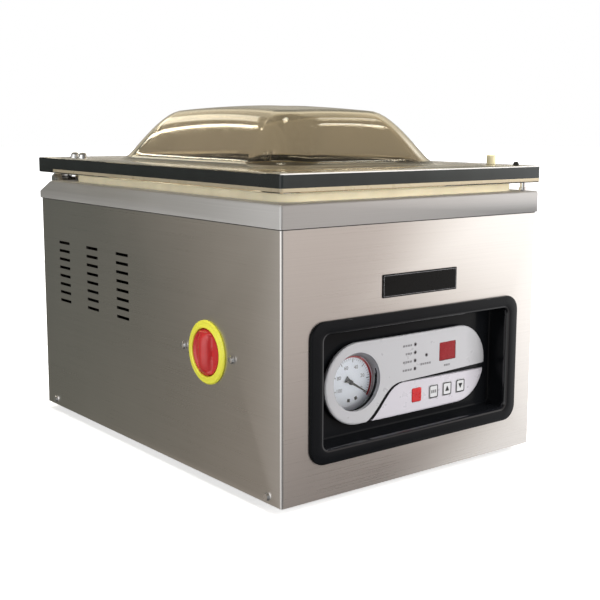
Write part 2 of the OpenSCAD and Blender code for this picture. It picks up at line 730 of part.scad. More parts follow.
module seal_bar() {
    color("silver") difference() {
        box([-bar_l / 2, bar_y - bar_w / 2, bar_z], [bar_l / 2, bar_y + bar_w / 2, bar_top - 3]);
        for (s = [-1, 1]) box([-bar_l / 2 - 1, bar_y + s * bar_w / 2 - 2.5, bar_z + 6], [bar_l / 2 + 1, bar_y + s * bar_w / 2 + 2.5, bar_z + 14]);
        for (s = [-1, 1]) cyl_z(rod_r - 1, bar_z - 1, bar_z + 8, s * rod_x, bar_y);
    }
}

module bar_insulator() {
    color([0.45, 0.25, 0.15]) box([-bar_l / 2, bar_y - bar_w / 2 + 1, bar_top - 3], [bar_l / 2, bar_y + bar_w / 2 - 1, bar_top - 0.5]);
}

module heating_strip() {
    color("gainsboro") {
        box([-bar_l / 2 + 2, bar_y - 4, bar_top - 0.5], [bar_l / 2 - 2, bar_y + 4, bar_top]);
        for (s = [-1, 1]) {
            box([s * (bar_l / 2 + 3) - 3, bar_y - 5, bar_z + 2], [s * (bar_l / 2 + 3) + 3, bar_y + 5, bar_top - 0.5]);
            box([s * (bar_l / 2) - 3, bar_y - 4, bar_top - 0.5], [s * (bar_l / 2) + 3, bar_y + 4, bar_top + 0.6]);
        }
    }
}

rod_foot = chamber_floor - 36;
module lift_rods() {
    color("gainsboro") for (s = [-1, 1]) {
        cyl_z(rod_r, rod_foot, bar_z, s * rod_x, bar_y);
        cyl_z(rod_r - 1, bar_z - 1, bar_z + 8, s * rod_x, bar_y);
        cyl_z(piston_r - running, rod_foot - 4, rod_foot + 4, s * rod_x, bar_y);
    }
}

module lift_cylinders() {
    top = chamber_floor - sheet;
    color("dimgray") for (s = [-1, 1]) difference() {
        union() {
            cyl_z(piston_r + 4, rod_foot - 12, top, s * rod_x, bar_y);
            cyl_y(3.5, bar_y, bar_y + piston_r + 12, s * rod_x, rod_foot - 8.4);
        }
        cyl_z(piston_r, rod_foot - 4.2, top - 5, s * rod_x, bar_y);
        cyl_z(rod_r + running, top - 6, top + 1, s * rod_x, bar_y);
    }
}

module vacuum_port() {
    wall = chamber_y + chamber_l / 2;
    color("silver") {
        difference() {
            cyl_y(16, wall - 2.5, wall, hose_x, port_z);
            for (a = [0:60:300]) cyl_y(1.8, wall - 4, wall + 1, hose_x + 9 * cos(a), port_z + 9 * sin(a));
        }
        cyl_y(6.9, wall - 1, wall + 4, hose_x, port_z);
        cyl_y(11, wall + sheet, wall + 7, hose_x, port_z);
        cyl_y(5.4, wall + 6, wall + 19, hose_x, port_z);
    }
}

// ---------- pump and motor ----------

module pump_housing() {
    color([0.3, 0.33, 0.36]) difference() {
        union() {
            box([2, block_y0, block_z0], [block_x1, block_y1, block_z1]);
            box([motor_x0 + 6, block_y0 + 4, block_z0 - 6], [block_x1, block_y1 - 4, block_z0 + 1]);
            for (k = [0:6]) box([12 + 13 * k, block_y0 - 4, block_z0 + 10], [15 + 13 * k, block_y1 + 2, block_z1 + 4]);
            cyl_y(11, block_y1 - 2, block_y1 + 5, hose_x, pump_port_z);
            cyl_y(5.4, block_y1 + 4, block_y1 + 12, hose_x, pump_port_z);
        }
        cyl_x(38, 16, 90, pump_y, pump_z - 5);
        cyl_x(shaft_r + running, 0, 20, pump_y, pump_z);
        cyl_x(12, motor_x0, 0, pump_y, pump_z);
    }
}

module pump_rotor() {
    color("slategray") {
        cyl_x(shaft_r, motor_x0 - 28, 17, pump_y, pump_z);
        difference() {
            cyl_x(32, 17, 89, pump_y, pump_z);
            for (a = [0, 120, 240]) translate([0, pump_y, pump_z]) rotate([a, 0, 0]) box([16, -2, 30], [90, 2, 34]);
        }
        cyl_x(26, motor_x0 + 30, motor_x1 - 24, pump_y, pump_z);
    }
}

module motor_casing() {
    color([0.35, 0.38, 0.42]) difference() {
        union() {
            cyl_x(motor_r - 3, motor_x0, motor_x1 + 8, pump_y, pump_z);
            for (k = [0:23]) translate([0, pump_y, pump_z]) rotate([15 * k, 0, 0])
                box([motor_x0 + 8, -1.2, motor_r - 6], [motor_x1 - 6, 1.2, motor_r]);
            box([motor_x0 + 30, pump_y - 26, pump_z + motor_r - 10], [motor_x1 - 30, pump_y + 26, pump_z + motor_r + 16]);
        }
        cyl_x(27, motor_x0 + 20, motor_x1 - 14, pump_y, pump_z);
        cyl_x(shaft_r + running, motor_x0 - 1, motor_x1 + 9, pump_y, pump_z);
    }
}

fan_x = motor_x0 - 22;
module motor_fan() {
    color("dimgray") {
        difference() {
            cyl_x(16, fan_x, fan_x + 14, pump_y, pump_z);
            cyl_x(shaft_r, fan_x - 1, fan_x + 15, pump_y, pump_z);
        }
        for (a = [0:45:315]) translate([fan_x, pump_y, pump_z]) rotate([a, 0, 0]) box([1, -1.2, 15], [13, 1.2, 50]);
    }
}

module fan_cowl() {
    color([0.2, 0.2, 0.22]) difference() {
        cyl_x(motor_r, motor_x0 - 36, motor_x0, pump_y, pump_z);
        cyl_x(motor_r - 2.5, motor_x0 - 33, motor_x0 + 1, pump_y, pump_z);
        for (r = [18, 34, 48]) for (a = [0:30:330])
            cyl_x(3.2, motor_x0 - 37, motor_x0 - 32, pump_y + r * cos(a), pump_z + r * sin(a));
    }
}

module exhaust_filter() {
    color([0.2, 0.22, 0.25]) {
        cyl_x(15, 14, 92, block_y0 + 26, block_z1 + 20);
        cyl_z(9, block_z1 + 4, block_z1 + 12, 30, block_y0 + 26);
    }
}

module pump_mounts() {
    color("black") for (x = [motor_x0 + 20, block_x1 - 14], y = [block_y0 + 16, block_y1 - 16])
        cyl_z(10, foot_h + sheet, block_z0 - 6, x, y);
}

// The hose's run at a given radius: out of the tub, down in two quarter bends, and back into the pump
module hose_run(r, over) {
    y0 = chamber_y + chamber_l / 2 + 8 - over;
    y1 = block_y1 + 5.2 - over;
    turn_y = block_y1 + 12.5;
    cyl_y(r, y0, turn_y, hose_x, port_z);
    cyl_y(r, y1, turn_y, hose_x, pump_port_z);
    cyl_z(r, pump_port_z + hose_bend, port_z - hose_bend, hose_x, turn_y + hose_bend);
    translate([hose_x, turn_y, port_z - hose_bend]) rotate([0, -90, 0]) quarter_bend(r);
    translate([hose_x, turn_y, pump_port_z + hose_bend]) rotate([0, 90, 0]) quarter_bend(r);
}
module quarter_bend(r) {
    rotate_extrude(angle = 90) translate([hose_bend, 0]) circle(r = r);
}

module vacuum_hose() {
    color("black") difference() {
        hose_run(hose_r, 0);
        hose_run(hose_r - 2.5, 1);
    }
}

module hose_clips() {
    color("gainsboro") for (p = [[chamber_y + chamber_l / 2 + 11, port_z], [block_y1 + 8, pump_port_z]])
        translate([hose_x, p[0], p[1]]) rotate([-90, 0, 0]) difference() {
            union() {
                cylinder(r = hose_r + 1, h = 3);
                translate([hose_r, -2, 0]) cube([5, 4, 3]);
            }
            translate([0, 0, -1]) cylinder(r = hose_r, h = 5);
        }
}

module vent_valve() {
    z = chamber_floor - sheet;
    color("goldenrod") {
        cyl_z(3.9, z - 1, chamber_floor, valve_x(), valve_y());
        box([valve_x() - 14, valve_y() - 14, z - 16], [valve_x() + 14, valve_y() + 14, z]);
        cyl_x(4.5, valve_x() + 13, valve_x() + 26, valve_y(), z - 8);
    }
    color("black") cyl_z(14, z - 50, z - 15, valve_x(), valve_y());
}

module transformer() {
    z = foot_h + sheet;
    color("dimgray") difference() {
        union() {
            box([50, -150, z], [130, -100, z + 66]);
            box([44, -150, z], [136, -100, z + 3]);
        }
        box([62, -151, z + 12], [76, -99, z + 54]);
        box([104, -151, z + 12], [118, -99, z + 54]);
    }
    color("sienna") difference() {
        box([62.2, -162, z + 12.2], [117.8, -88, z + 53.8]);
        box([76, -151, z + 10], [104, -99, z + 56]);
    }
}

// ---------- electrical ----------

module lid_switch() {
    color([0.1, 0.1, 0.1]) difference() {
        union() {
            box([switch_pin_x - 6, switch_pin_y - 5, deck_z - 36], [switch_pin_x + 6, switch_pin_y + 22, deck_z - 14]);
            cyl_z(bush_r, deck_z - 15, deck_z + 3.5, switch_pin_x, switch_pin_y);
            translate([switch_pin_x, switch_pin_y, deck_z - sheet - 4]) cylinder(r = 6, h = 4, $fn = 6);
        }
        cyl_z(switch_pin_r + running, deck_z - 26, deck_z + 5, switch_pin_x, switch_pin_y);
    }
}

module lid_switch_pin() {
    color("gainsboro") cyl_z(switch_pin_r, deck_z - 22, lid_z - 2, switch_pin_x, switch_pin_y);
    color([0.95, 0.93, 0.8]) cyl_z(switch_pin_r, lid_z - 3, lid_z - 0.4, switch_pin_x, switch_pin_y);
}

function inlet_x() = -100;
function inlet_z() = 60;
module power_inlet() {
    y = half_d + 0.05 + sheet;
    color("black") difference() {
        union() {
            upright(y, y + 3) translate([inlet_x(), inlet_z()]) polygon(rounded(48, 26, 3, 4));
            upright(y - 24, y + 1) translate([inlet_x(), inlet_z()]) square([27, 19], center = true);
        }
        upright(y - 14, y + 4) translate([inlet_x(), inlet_z()])
            polygon([[-12, -8], [12, -8], [12, 4.5], [8, 8], [-8, 8], [-12, 4.5]]);
    }
    color("silver") for (p = [[-7, -2], [0, 2], [7, -2]])
        upright(y - 15, y - 7) translate([inlet_x() + p[0], inlet_z() + p[1]]) square([2, 4], center = true);
}

base_pan();
outer_wrap();
rear_panel();
top_deck();
rubber_feet();
panel_screws();
name_plate();
control_bezel();
control_fascia();
lower_fascia();
display_window();
indicator_lenses();
start_key();
set_key();
up_key();
down_key();
gauge_case();
gauge_dial();
gauge_needle();
gauge_glass();
control_board();
switch_ring();
switch_knob();
switch_body();
switch_screws();
lid();
chamber_gasket();
counter_bar();
counter_strip();
corner_screw();
lid_plug();
lid_bolts();
hinge_leaf_left();
hinge_leaf_right();
hinge_base_left();
hinge_base_right();
hinge_pins();
hinge_springs();
chamber_tub();
filler_plates();
seal_bar();
bar_insulator();
heating_strip();
lift_rods();
lift_cylinders();
vacuum_port();
pump_housing();
pump_rotor();
motor_casing();
motor_fan();
fan_cowl();
exhaust_filter();
pump_mounts();
vacuum_hose();
hose_clips();
vent_valve();
transformer();
lid_switch();
lid_switch_pin();
power_inlet();
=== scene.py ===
"""Vacuum chamber sealer: materials, detailed pieces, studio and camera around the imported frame."""
import json
import math

import bmesh
import bpy
from mathutils import Matrix, Vector
from mathutils.geometry import delaunay_2d_cdt

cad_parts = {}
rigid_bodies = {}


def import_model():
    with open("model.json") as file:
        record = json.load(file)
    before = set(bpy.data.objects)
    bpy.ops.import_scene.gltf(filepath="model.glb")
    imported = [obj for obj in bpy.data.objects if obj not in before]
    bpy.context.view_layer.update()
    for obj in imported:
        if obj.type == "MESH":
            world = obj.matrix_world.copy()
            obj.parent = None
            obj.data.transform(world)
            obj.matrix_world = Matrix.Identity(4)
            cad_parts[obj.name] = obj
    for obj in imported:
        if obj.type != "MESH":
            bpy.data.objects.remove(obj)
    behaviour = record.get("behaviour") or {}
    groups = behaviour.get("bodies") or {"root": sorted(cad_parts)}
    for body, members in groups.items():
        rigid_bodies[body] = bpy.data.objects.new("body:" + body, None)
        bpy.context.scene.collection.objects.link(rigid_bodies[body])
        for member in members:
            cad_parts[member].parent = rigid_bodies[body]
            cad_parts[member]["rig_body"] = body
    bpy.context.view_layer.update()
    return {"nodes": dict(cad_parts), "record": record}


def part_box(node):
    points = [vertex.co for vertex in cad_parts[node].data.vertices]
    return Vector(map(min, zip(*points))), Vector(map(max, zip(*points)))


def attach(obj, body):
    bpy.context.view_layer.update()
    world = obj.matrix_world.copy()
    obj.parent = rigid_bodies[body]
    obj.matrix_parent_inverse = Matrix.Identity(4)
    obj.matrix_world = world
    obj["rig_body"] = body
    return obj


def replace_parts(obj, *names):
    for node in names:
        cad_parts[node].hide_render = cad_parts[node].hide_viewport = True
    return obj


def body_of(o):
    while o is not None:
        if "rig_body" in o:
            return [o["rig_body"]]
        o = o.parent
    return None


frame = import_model()
NODES = frame["nodes"]
MM = 0.001


# ------------------------------------------------------------------ node helpers

class Tree:
    """A short way to build a node tree, from empty or on top of what is there."""

    def __init__(self, tree, clear=True):
        self.tree = tree
        if clear:
            tree.nodes.clear()

    def add(self, kind, **values):
        node = self.tree.nodes.new(kind)
        for key, value in values.items():
            if hasattr(node, key):
                setattr(node, key, value)
            else:
                node.inputs[key.replace("_", " ")].default_value = value
        return node

    def link(self, a, b):
        self.tree.links.new(a, b)

    def math(self, op, a, b=None, clamp=False):
        node = self.tree.nodes.new("ShaderNodeMath")
        node.operation, node.use_clamp = op, clamp
        for i, v in enumerate((a, b)):
            if v is None:
                continue
            if isinstance(v, (int, float)):
                node.inputs[i].default_value = v
            else:
                self.link(v, node.inputs[i])
        return node.outputs[0]

    def ramp(self, fac, stops):
        node = self.tree.nodes.new("ShaderNodeValToRGB")
        els = node.color_ramp.elements
        while len(els) < len(stops):
            els.new(0.5)
        for el, (pos, col) in zip(els, stops):
            el.position = pos
            col = (col,) * 3 if isinstance(col, (int, float)) else col
            el.color = (*col[:3], 1)
        self.link(fac, node.inputs[0])
        return node.outputs[0]

    def mix(self, fac, a, b, blend="MIX"):
        node = self.tree.nodes.new("ShaderNodeMix")
        node.data_type, node.blend_type = "RGBA", blend
        for i, v in ((0, fac), (6, a), (7, b)):
            if isinstance(v, (int, float)):
                node.inputs[i].default_value = v
            elif isinstance(v, (tuple, list)):
                node.inputs[i].default_value = (*v[:3], 1)
            else:
                self.link(v, node.inputs[i])
        return node.outputs[2]

    def coords(self, scale=(1, 1, 1)):
        tc = self.tree.nodes.new("ShaderNodeTexCoord")
        mp = self.tree.nodes.new("ShaderNodeMapping")
        mp.inputs["Scale"].default_value = scale
        self.link(tc.outputs["Object"], mp.inputs["Vector"])
        return mp.outputs[0]

    def noise(self, scale, coords=(1, 1, 1), detail=3, rough=0.5):
        n = self.tree.nodes.new("ShaderNodeTexNoise")
        n.inputs["Scale"].default_value = scale
        n.inputs["Detail"].default_value = detail
        n.inputs["Roughness"].default_value = rough
        self.link(self.coords(coords), n.inputs["Vector"])
        return n.outputs["Fac"]


def new_object(name, data):
    o = bpy.data.objects.new(name, data)
    bpy.context.scene.collection.objects.link(o)
    return o


def new_material(name, kind="ShaderNodeBsdfPrincipled"):
    """A material with one shader node on its output: the material, its tree and the shader."""
    m = bpy.data.materials.new(name)
    m.use_nodes = True
    t = Tree(m.node_tree)
    shader = t.add(kind)
    t.link(shader.outputs[0], t.add("ShaderNodeOutputMaterial").inputs[0])
    return m, t, shader


def shades(color, low, high):
    """A darker and a lighter shade of a colour."""
    return tuple(c * low for c in color), tuple(min(1, c * high) for c in color)


def add_bump(t, p, height, strength, distance):
    bump = t.add("ShaderNodeBump", Strength=strength, Distance=distance)
    t.link(height, bump.inputs["Height"])
    t.link(bump.outputs[0], p.inputs["Normal"])


def material(name, color, rough=0.4, metal=0.0, spot=0.06, spot_scale=40, grain=0.0, grain_scale=900,
             rough_spread=0.08, **extra):
    """A principled material with soft colour variation, uneven roughness and, if asked, fine grain in its bump."""
    m, t, p = new_material(name)
    dark, light = shades(color, 1 - spot, 1 + spot)
    t.link(t.ramp(t.noise(spot_scale, detail=4), [(0.3, dark), (0.7, light)]), p.inputs["Base Color"])
    rough_stops = [(0.3, max(0.02, rough - rough_spread)), (0.7, min(1, rough + rough_spread))]
    t.link(t.ramp(t.noise(spot_scale * 2.3, detail=3), rough_stops), p.inputs["Roughness"])
    p.inputs["Metallic"].default_value = metal
    if grain:
        add_bump(t, p, t.noise(grain_scale, detail=2), grain, 0.0004)
    for key, value in extra.items():
        p.inputs[key.replace("_", " ")].default_value = value
    return m


def brushed(name, color, rough=0.28, aniso=0.7):
    """Brushed steel: fine scratches that run level on upright walls and left to right on flat ones."""
    m, t, p = new_material(name)
    geo = t.add("ShaderNodeNewGeometry")
    sep = t.add("ShaderNodeSeparateXYZ")
    t.link(geo.outputs["Normal"], sep.inputs[0])
    side = t.math("GREATER_THAN", t.math("ABSOLUTE", sep.outputs[0]), 0.7)

    def scratch(fast, slow):
        front = t.noise(1, (slow, fast, fast), rough=0.6)
        flank = t.noise(1, (fast, slow, fast), rough=0.6)
        return t.math("ADD", t.math("MULTIPLY", front, t.math("SUBTRACT", 1.0, side)),
                      t.math("MULTIPLY", flank, side))

    fine, coarse = scratch(2600, 9), scratch(700, 3.5)
    both = t.math("ADD", t.math("MULTIPLY", fine, 0.6), t.math("MULTIPLY", coarse, 0.4))
    cloud = t.noise(7, (1, 1, 0.6))
    dark, light = shades(color, 0.90, 1.10)
    streaks = t.ramp(both, [(0.3, dark), (0.7, light)])
    dark, light = shades(color, 0.94, 1.05)
    t.link(t.mix(0.5, streaks, t.ramp(cloud, [(0.3, dark), (0.7, light)])), p.inputs["Base Color"])
    t.link(t.ramp(t.math("ADD", t.math("MULTIPLY", both, 0.7), t.math("MULTIPLY", cloud, 0.3)),
                  [(0.3, rough - 0.06), (0.7, rough + 0.07)]), p.inputs["Roughness"])
    p.inputs["Metallic"].default_value = 1.0
    p.inputs["Anisotropic"].default_value = aniso
    p.inputs["Anisotropic Rotation"].default_value = 0.25
    tangent = t.add("ShaderNodeTangent", direction_type="RADIAL", axis="Z")
    t.link(tangent.outputs[0], p.inputs["Tangent"])
    add_bump(t, p, both, 0.12, 0.0002)
    return m


def glass(name, color, rough=0.02, ior=1.49):
    m, t, p = new_material(name)
    stops = [(0.3, tuple(c * 0.97 for c in color)), (0.7, color)]
    t.link(t.ramp(t.noise(14, detail=2), stops), p.inputs["Base Color"])
    t.link(t.ramp(t.noise(60), [(0.35, rough), (0.75, rough + 0.05)]), p.inputs["Roughness"])
    p.inputs["IOR"].default_value = ior
    p.inputs["Transmission Weight"].default_value = 1.0
    return m


def painted_shade_end(m, x0, x1, keep):
    """Painted shade: darkens a material's colour towards the panel's right end, between x0 and x1 metres."""
    t = Tree(m.node_tree, clear=False)
    p = m.node_tree.nodes["Principled BSDF"]
    old = p.inputs["Base Color"].links[0].from_socket
    sep = t.add("ShaderNodeSeparateXYZ")
    t.link(t.coords(), sep.inputs[0])
    k = t.math("DIVIDE", t.math("SUBTRACT", sep.outputs[0], x0), x1 - x0, clamp=True)
    t.link(t.mix(k, old, t.mix(1.0, old, (keep,) * 3, "MULTIPLY")), p.inputs["Base Color"])


# ------------------------------------------------------------------ materials

M = {
    "wrap": brushed("wrap_steel", (0.70, 0.675, 0.65), 0.30),
    "deck": brushed("deck_steel", (0.74, 0.735, 0.73), 0.62, 0.2),
    "pan": brushed("pan_steel", (0.60, 0.60, 0.60), 0.36, 0.4),
    "tub": brushed("tub_steel", (0.66, 0.655, 0.64), 0.30, 0.3),
    "bright": material("bright_steel", (0.78, 0.78, 0.78), 0.16, 1.0, grain=0.1),
    "pin": material("pin_steel", (0.86, 0.86, 0.86), 0.10, 1.0),
    "hinge": brushed("hinge_steel", (0.68, 0.67, 0.66), 0.26, 0.2),
    "foot": material("foot_rubber", (0.022, 0.022, 0.023), 0.62, grain=0.5),
    "gasket": material("gasket_rubber", (0.90, 0.81, 0.58), 0.55, spot=0.07, grain=0.25, Subsurface_Weight=0.12,
                       Subsurface_Radius=(0.006, 0.004, 0.002), Subsurface_Scale=0.6),
    "counter": material("counter_rubber", (0.62, 0.12, 0.06), 0.5, grain=0.2),
    "plate": material("plate_black", (0.0035, 0.0035, 0.0035), 0.30, Specular_IOR_Level=0.1),
    "bezel": material("bezel_black", (0.0045, 0.005, 0.006), 0.18, rough_spread=0.04, grain=0.06, grain_scale=500,
                      Specular_IOR_Level=0.105),
    "lip": material("bezel_lip", (0.006, 0.0065, 0.008), 0.10, rough_spread=0.02),
    "fascia": material("fascia_grey", (0.41, 0.415, 0.44), 0.34, spot=0.0, metal=0.15),
    "fascia_low": material("fascia_low", (0.485, 0.475, 0.525), 0.32, spot=0.0, metal=0.15),
    "bezel_mark": material("bezel_mark", (0.035, 0.037, 0.04), 0.3),
    "rib": material("rib_black", (0.004, 0.004, 0.005), 0.5, Specular_IOR_Level=0.1),
    "liner": material("gauge_liner", (0.50, 0.485, 0.52), 0.32, 0.5, spot=0.1),
    # the seam strip: partly a dark joint, partly painted shadow under the deck's skirt
    "seam": material("seam_dark", (0.03, 0.03, 0.03), 0.7),
    "acrylic": glass("lid_acrylic", (0.87, 0.80, 0.67)),
    # the lid's edge band: painted dark reflection of the room in the clear acrylic's edge
    "lid_edge": material("lid_edge_dark", (0.016, 0.019, 0.019), 0.10, spot=0.1, rough_spread=0.04,
                         Specular_IOR_Level=0.35),
    # painted highlight on the round of the lid's front edge
    "lid_glint": material("lid_edge_glint", (0.60, 0.59, 0.58), 0.2),
    # the foot of the lid's edge: painted view of the gasket through the acrylic
    "lid_foot": material("lid_edge_pale", (0.44, 0.375, 0.26), 0.30, spot=0.08, spot_scale=25),
    "glass": glass("gauge_clear", (0.97, 0.98, 0.98), 0.01, 1.3),
    "display": material("display_red", (0.20, 0.016, 0.020), 0.25, spot=0.1, spot_scale=90, Specular_IOR_Level=0.15),
    "lens": material("lens_dark", (0.02, 0.014, 0.016), 0.12),
    "key_red": material("key_red", (0.40, 0.014, 0.017), 0.32, spot=0.14, spot_scale=220, grain=0.15),
    "key_grey": material("key_grey", (0.52, 0.53, 0.55), 0.36, spot=0.03, grain=0.1),
    "case": material("case_metal", (0.42, 0.43, 0.45), 0.34, 1.0, grain=0.15),
    "dial": material("dial_white", (0.84, 0.88, 0.97), 0.45, spot=0.02),
    "ink": material("ink_black", (0.012, 0.012, 0.014), 0.4),
    "ink_grey": material("ink_grey", (0.16, 0.16, 0.17), 0.45),
    "ink_red": material("ink_red", (0.30, 0.012, 0.018), 0.4),
    "board": material("board_green", (0.02, 0.12, 0.05), 0.45),
    "yellow": material("switch_yellow", (1.0, 0.95, 0.08), 0.30, spot=0.03, Coat_Weight=0.25),
    "red": material("switch_red", (0.62, 0.024, 0.026), 0.20, spot=0.05, Coat_Weight=0.3),
    "black": material("black_plastic", (0.02, 0.02, 0.021), 0.42, grain=0.3),
    "counter_al": material("counter_aluminium", (0.68, 0.68, 0.68), 0.30, 1.0, grain=0.2),
    "screw": material("screw_dark", (0.05, 0.05, 0.045), 0.32, 0.8, spot=0.2),
    "plug": material("plug_cream", (0.80, 0.72, 0.46), 0.42, spot=0.05),
    "filler": material("filler_white", (0.78, 0.78, 0.75), 0.4, grain=0.2),
    "insulator": material("insulator_brown", (0.16, 0.075, 0.03), 0.5, spot=0.2, grain=0.4),
    "pump": material("pump_iron", (0.10, 0.11, 0.13), 0.5, 0.2, spot=0.12, grain=0.6),
    "brass": material("brass", (0.70, 0.50, 0.20), 0.28, 1.0, spot=0.1),
}
SLOT = {
    "wrap_steel": "wrap", "deck_steel": "deck", "pan_steel": "pan", "tub_steel": "tub", "bright_steel": "bright",
    "pin_steel": "pin", "hinge_steel": "hinge", "foot_rubber": "foot", "gasket_rubber": "gasket",
    "counter_rubber": "counter", "plate_black": "plate", "bezel_black": "bezel", "fascia_grey": "fascia",
    "display_red": "display", "lens_dark": "lens", "key_red": "key_red", "key_grey": "key_grey",
    "case_metal": "case", "dial_white": "dial", "needle_black": "ink", "board_green": "board",
    "switch_yellow": "yellow", "switch_red": "red", "black_plastic": "black", "counter_aluminium": "counter_al",
    "screw_dark": "screw", "plug_cream": "plug", "filler_white": "filler", "insulator_brown": "insulator",
    "pump_iron": "pump", "brass": "brass", "lid_acrylic": "acrylic", "clear_glass": "glass",
}
SLOT_OF = {sub["node"]: sub["material_slot"] for sub in frame["record"]["subparts"]}

for node, slot in SLOT_OF.items():
    NODES[node].data.materials.clear()
    NODES[node].data.materials.append(M[SLOT[slot]])
# painted shade at the right end of both fascia halves
for key in ("fascia", "fascia_low"):
    painted_shade_end(M[key], 0.078, 0.109, 0.58)


# ------------------------------------------------------------------ mesh helpers

def make(name, verts, faces, mat, body, smooth=35, mats=None, face_mats=None):
    """A mesh piece from millimetre vertices, riding on a body."""
    me = bpy.data.meshes.new(name)
    me.from_pydata([Vector(v) * MM for v in verts], [], faces)
    me.validate()
    o = new_object(name, me)
    for k in mats or [mat]:
        me.materials.append(M[k])
    if face_mats:
        for poly, i in zip(me.polygons, face_mats):
            poly.material_index = i
    bm = bmesh.new()
    bm.from_mesh(me)
    bmesh.ops.recalc_face_normals(bm, faces=bm.faces)
    bm.to_mesh(me)
    bm.free()
    if smooth:
        me.shade_smooth()
        me.set_sharp_from_angle(angle=math.radians(smooth))
    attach(o, body)
    return o


def bevel(o, width, segments):
    b = o.modifiers.new("edge", "BEVEL")
    b.width, b.segments, b.limit_method = width * MM, segments, "ANGLE"
    b.angle_limit = math.radians(30)
    b.harden_normals = True


def rounded(w, h, r, n=6, cx=0.0, cz=0.0):
    """Corner points of a rounded rectangle, anticlockwise."""
    pts = []
    for k, (sx, sz) in enumerate(((1, 1), (-1, 1), (-1, -1), (1, -1))):
        for i in range(n + 1):
            a = math.radians(90 * k + 90 * i / n)
            pts.append((cx + sx * (w / 2 - r) + r * math.cos(a), cz + sz * (h / 2 - r) + r * math.sin(a)))
    return pts


def loft(rings, closed_start=True, closed_end=True):
    """Vertices and faces that join rings of equal length."""
    n = len(rings[0])
    verts = [p for r in rings for p in r]
    faces = [(k * n + i, k * n + (i + 1) % n, (k + 1) * n + (i + 1) % n, (k + 1) * n + i)
             for k in range(len(rings) - 1) for i in range(n)]
    if closed_start:
        faces.append(tuple(range(n))[::-1])
    if closed_end:
        faces.append(tuple(range((len(rings) - 1) * n, len(rings) * n)))
    return verts, faces


def looped(rings):
    """A closed band: the last ring joins the first."""
    verts, faces = loft(rings + [rings[0]], False, False)
    total = len(rings) * len(rings[0])
    return verts[:total], [tuple(i % total for i in f) for f in faces]


# ------------------------------------------------------------------ lid

LID_Z, LID_TOP = 287.0, 304.0
LID_BACK, LID_FRONT, LID_HALF_W = 241.5, -240.6, 167.2
DOME_A, DOME_B, DOME_Y = 118.0, 162.0, -1.0    # half width, half length and centre of the dome's foot
DOME_R, DOME_H = 52, 61.0            # corner radius of its foot, height over the plate
CROWN = 0.23                         # how much of that height is its crown
FLANK, WALL = 58.0, 5.0              # width of its flank, thickness of its wall
FILLET = 8.0                         # reach of the fillet at its foot


def smooth_step(t):
    return pow(3 * t * t - 2 * t ** 3, 0.59)


def eased(d):
    """d with its start drawn out by the fillet."""
    return 0.0 if d < -FILLET else d if d > FILLET else (d + FILLET) ** 2 / (4 * FILLET)


def dome_z(d, x, y):
    """Height of the dome over the rim at (x, y), d inside its foot."""
    crown = CROWN * (1 - (x / DOME_A) ** 2) * (1 - (y / DOME_B) ** 2)
    return DOME_H * smooth_step(min(1.0, eased(d) / FLANK)) * (1 + crown) / (1 + CROWN)


def outline(a, b, r, cy, n=14, m=12):
    """A rounded rectangle, 2a by 2b, with n steps in each corner and m points along each side."""
    pts = []
    for c in range(4):
        sx, sy = (1 if c in (0, 3) else -1), (1 if c < 2 else -1)
        nx, ny = (-1 if c in (0, 1) else 1), (1 if c in (0, 3) else -1)
        q = math.pi / 2 * (c + 1)
        e = (sx * (a - r) + r * math.cos(q), sy * (b - r) + r * math.sin(q))
        f = (nx * (a - r) + r * math.cos(q), ny * (b - r) + r * math.sin(q))
        for i in range(n + 1):
            q = math.pi / 2 * (c + i / n)
            pts.append((sx * (a - r) + r * math.cos(q), cy + sy * (b - r) + r * math.sin(q)))
        for u in (j / (m + 1) for j in range(1, m + 1)):
            pts.append((e[0] + (f[0] - e[0]) * u, cy + e[1] + (f[1] - e[1]) * u))
    return pts


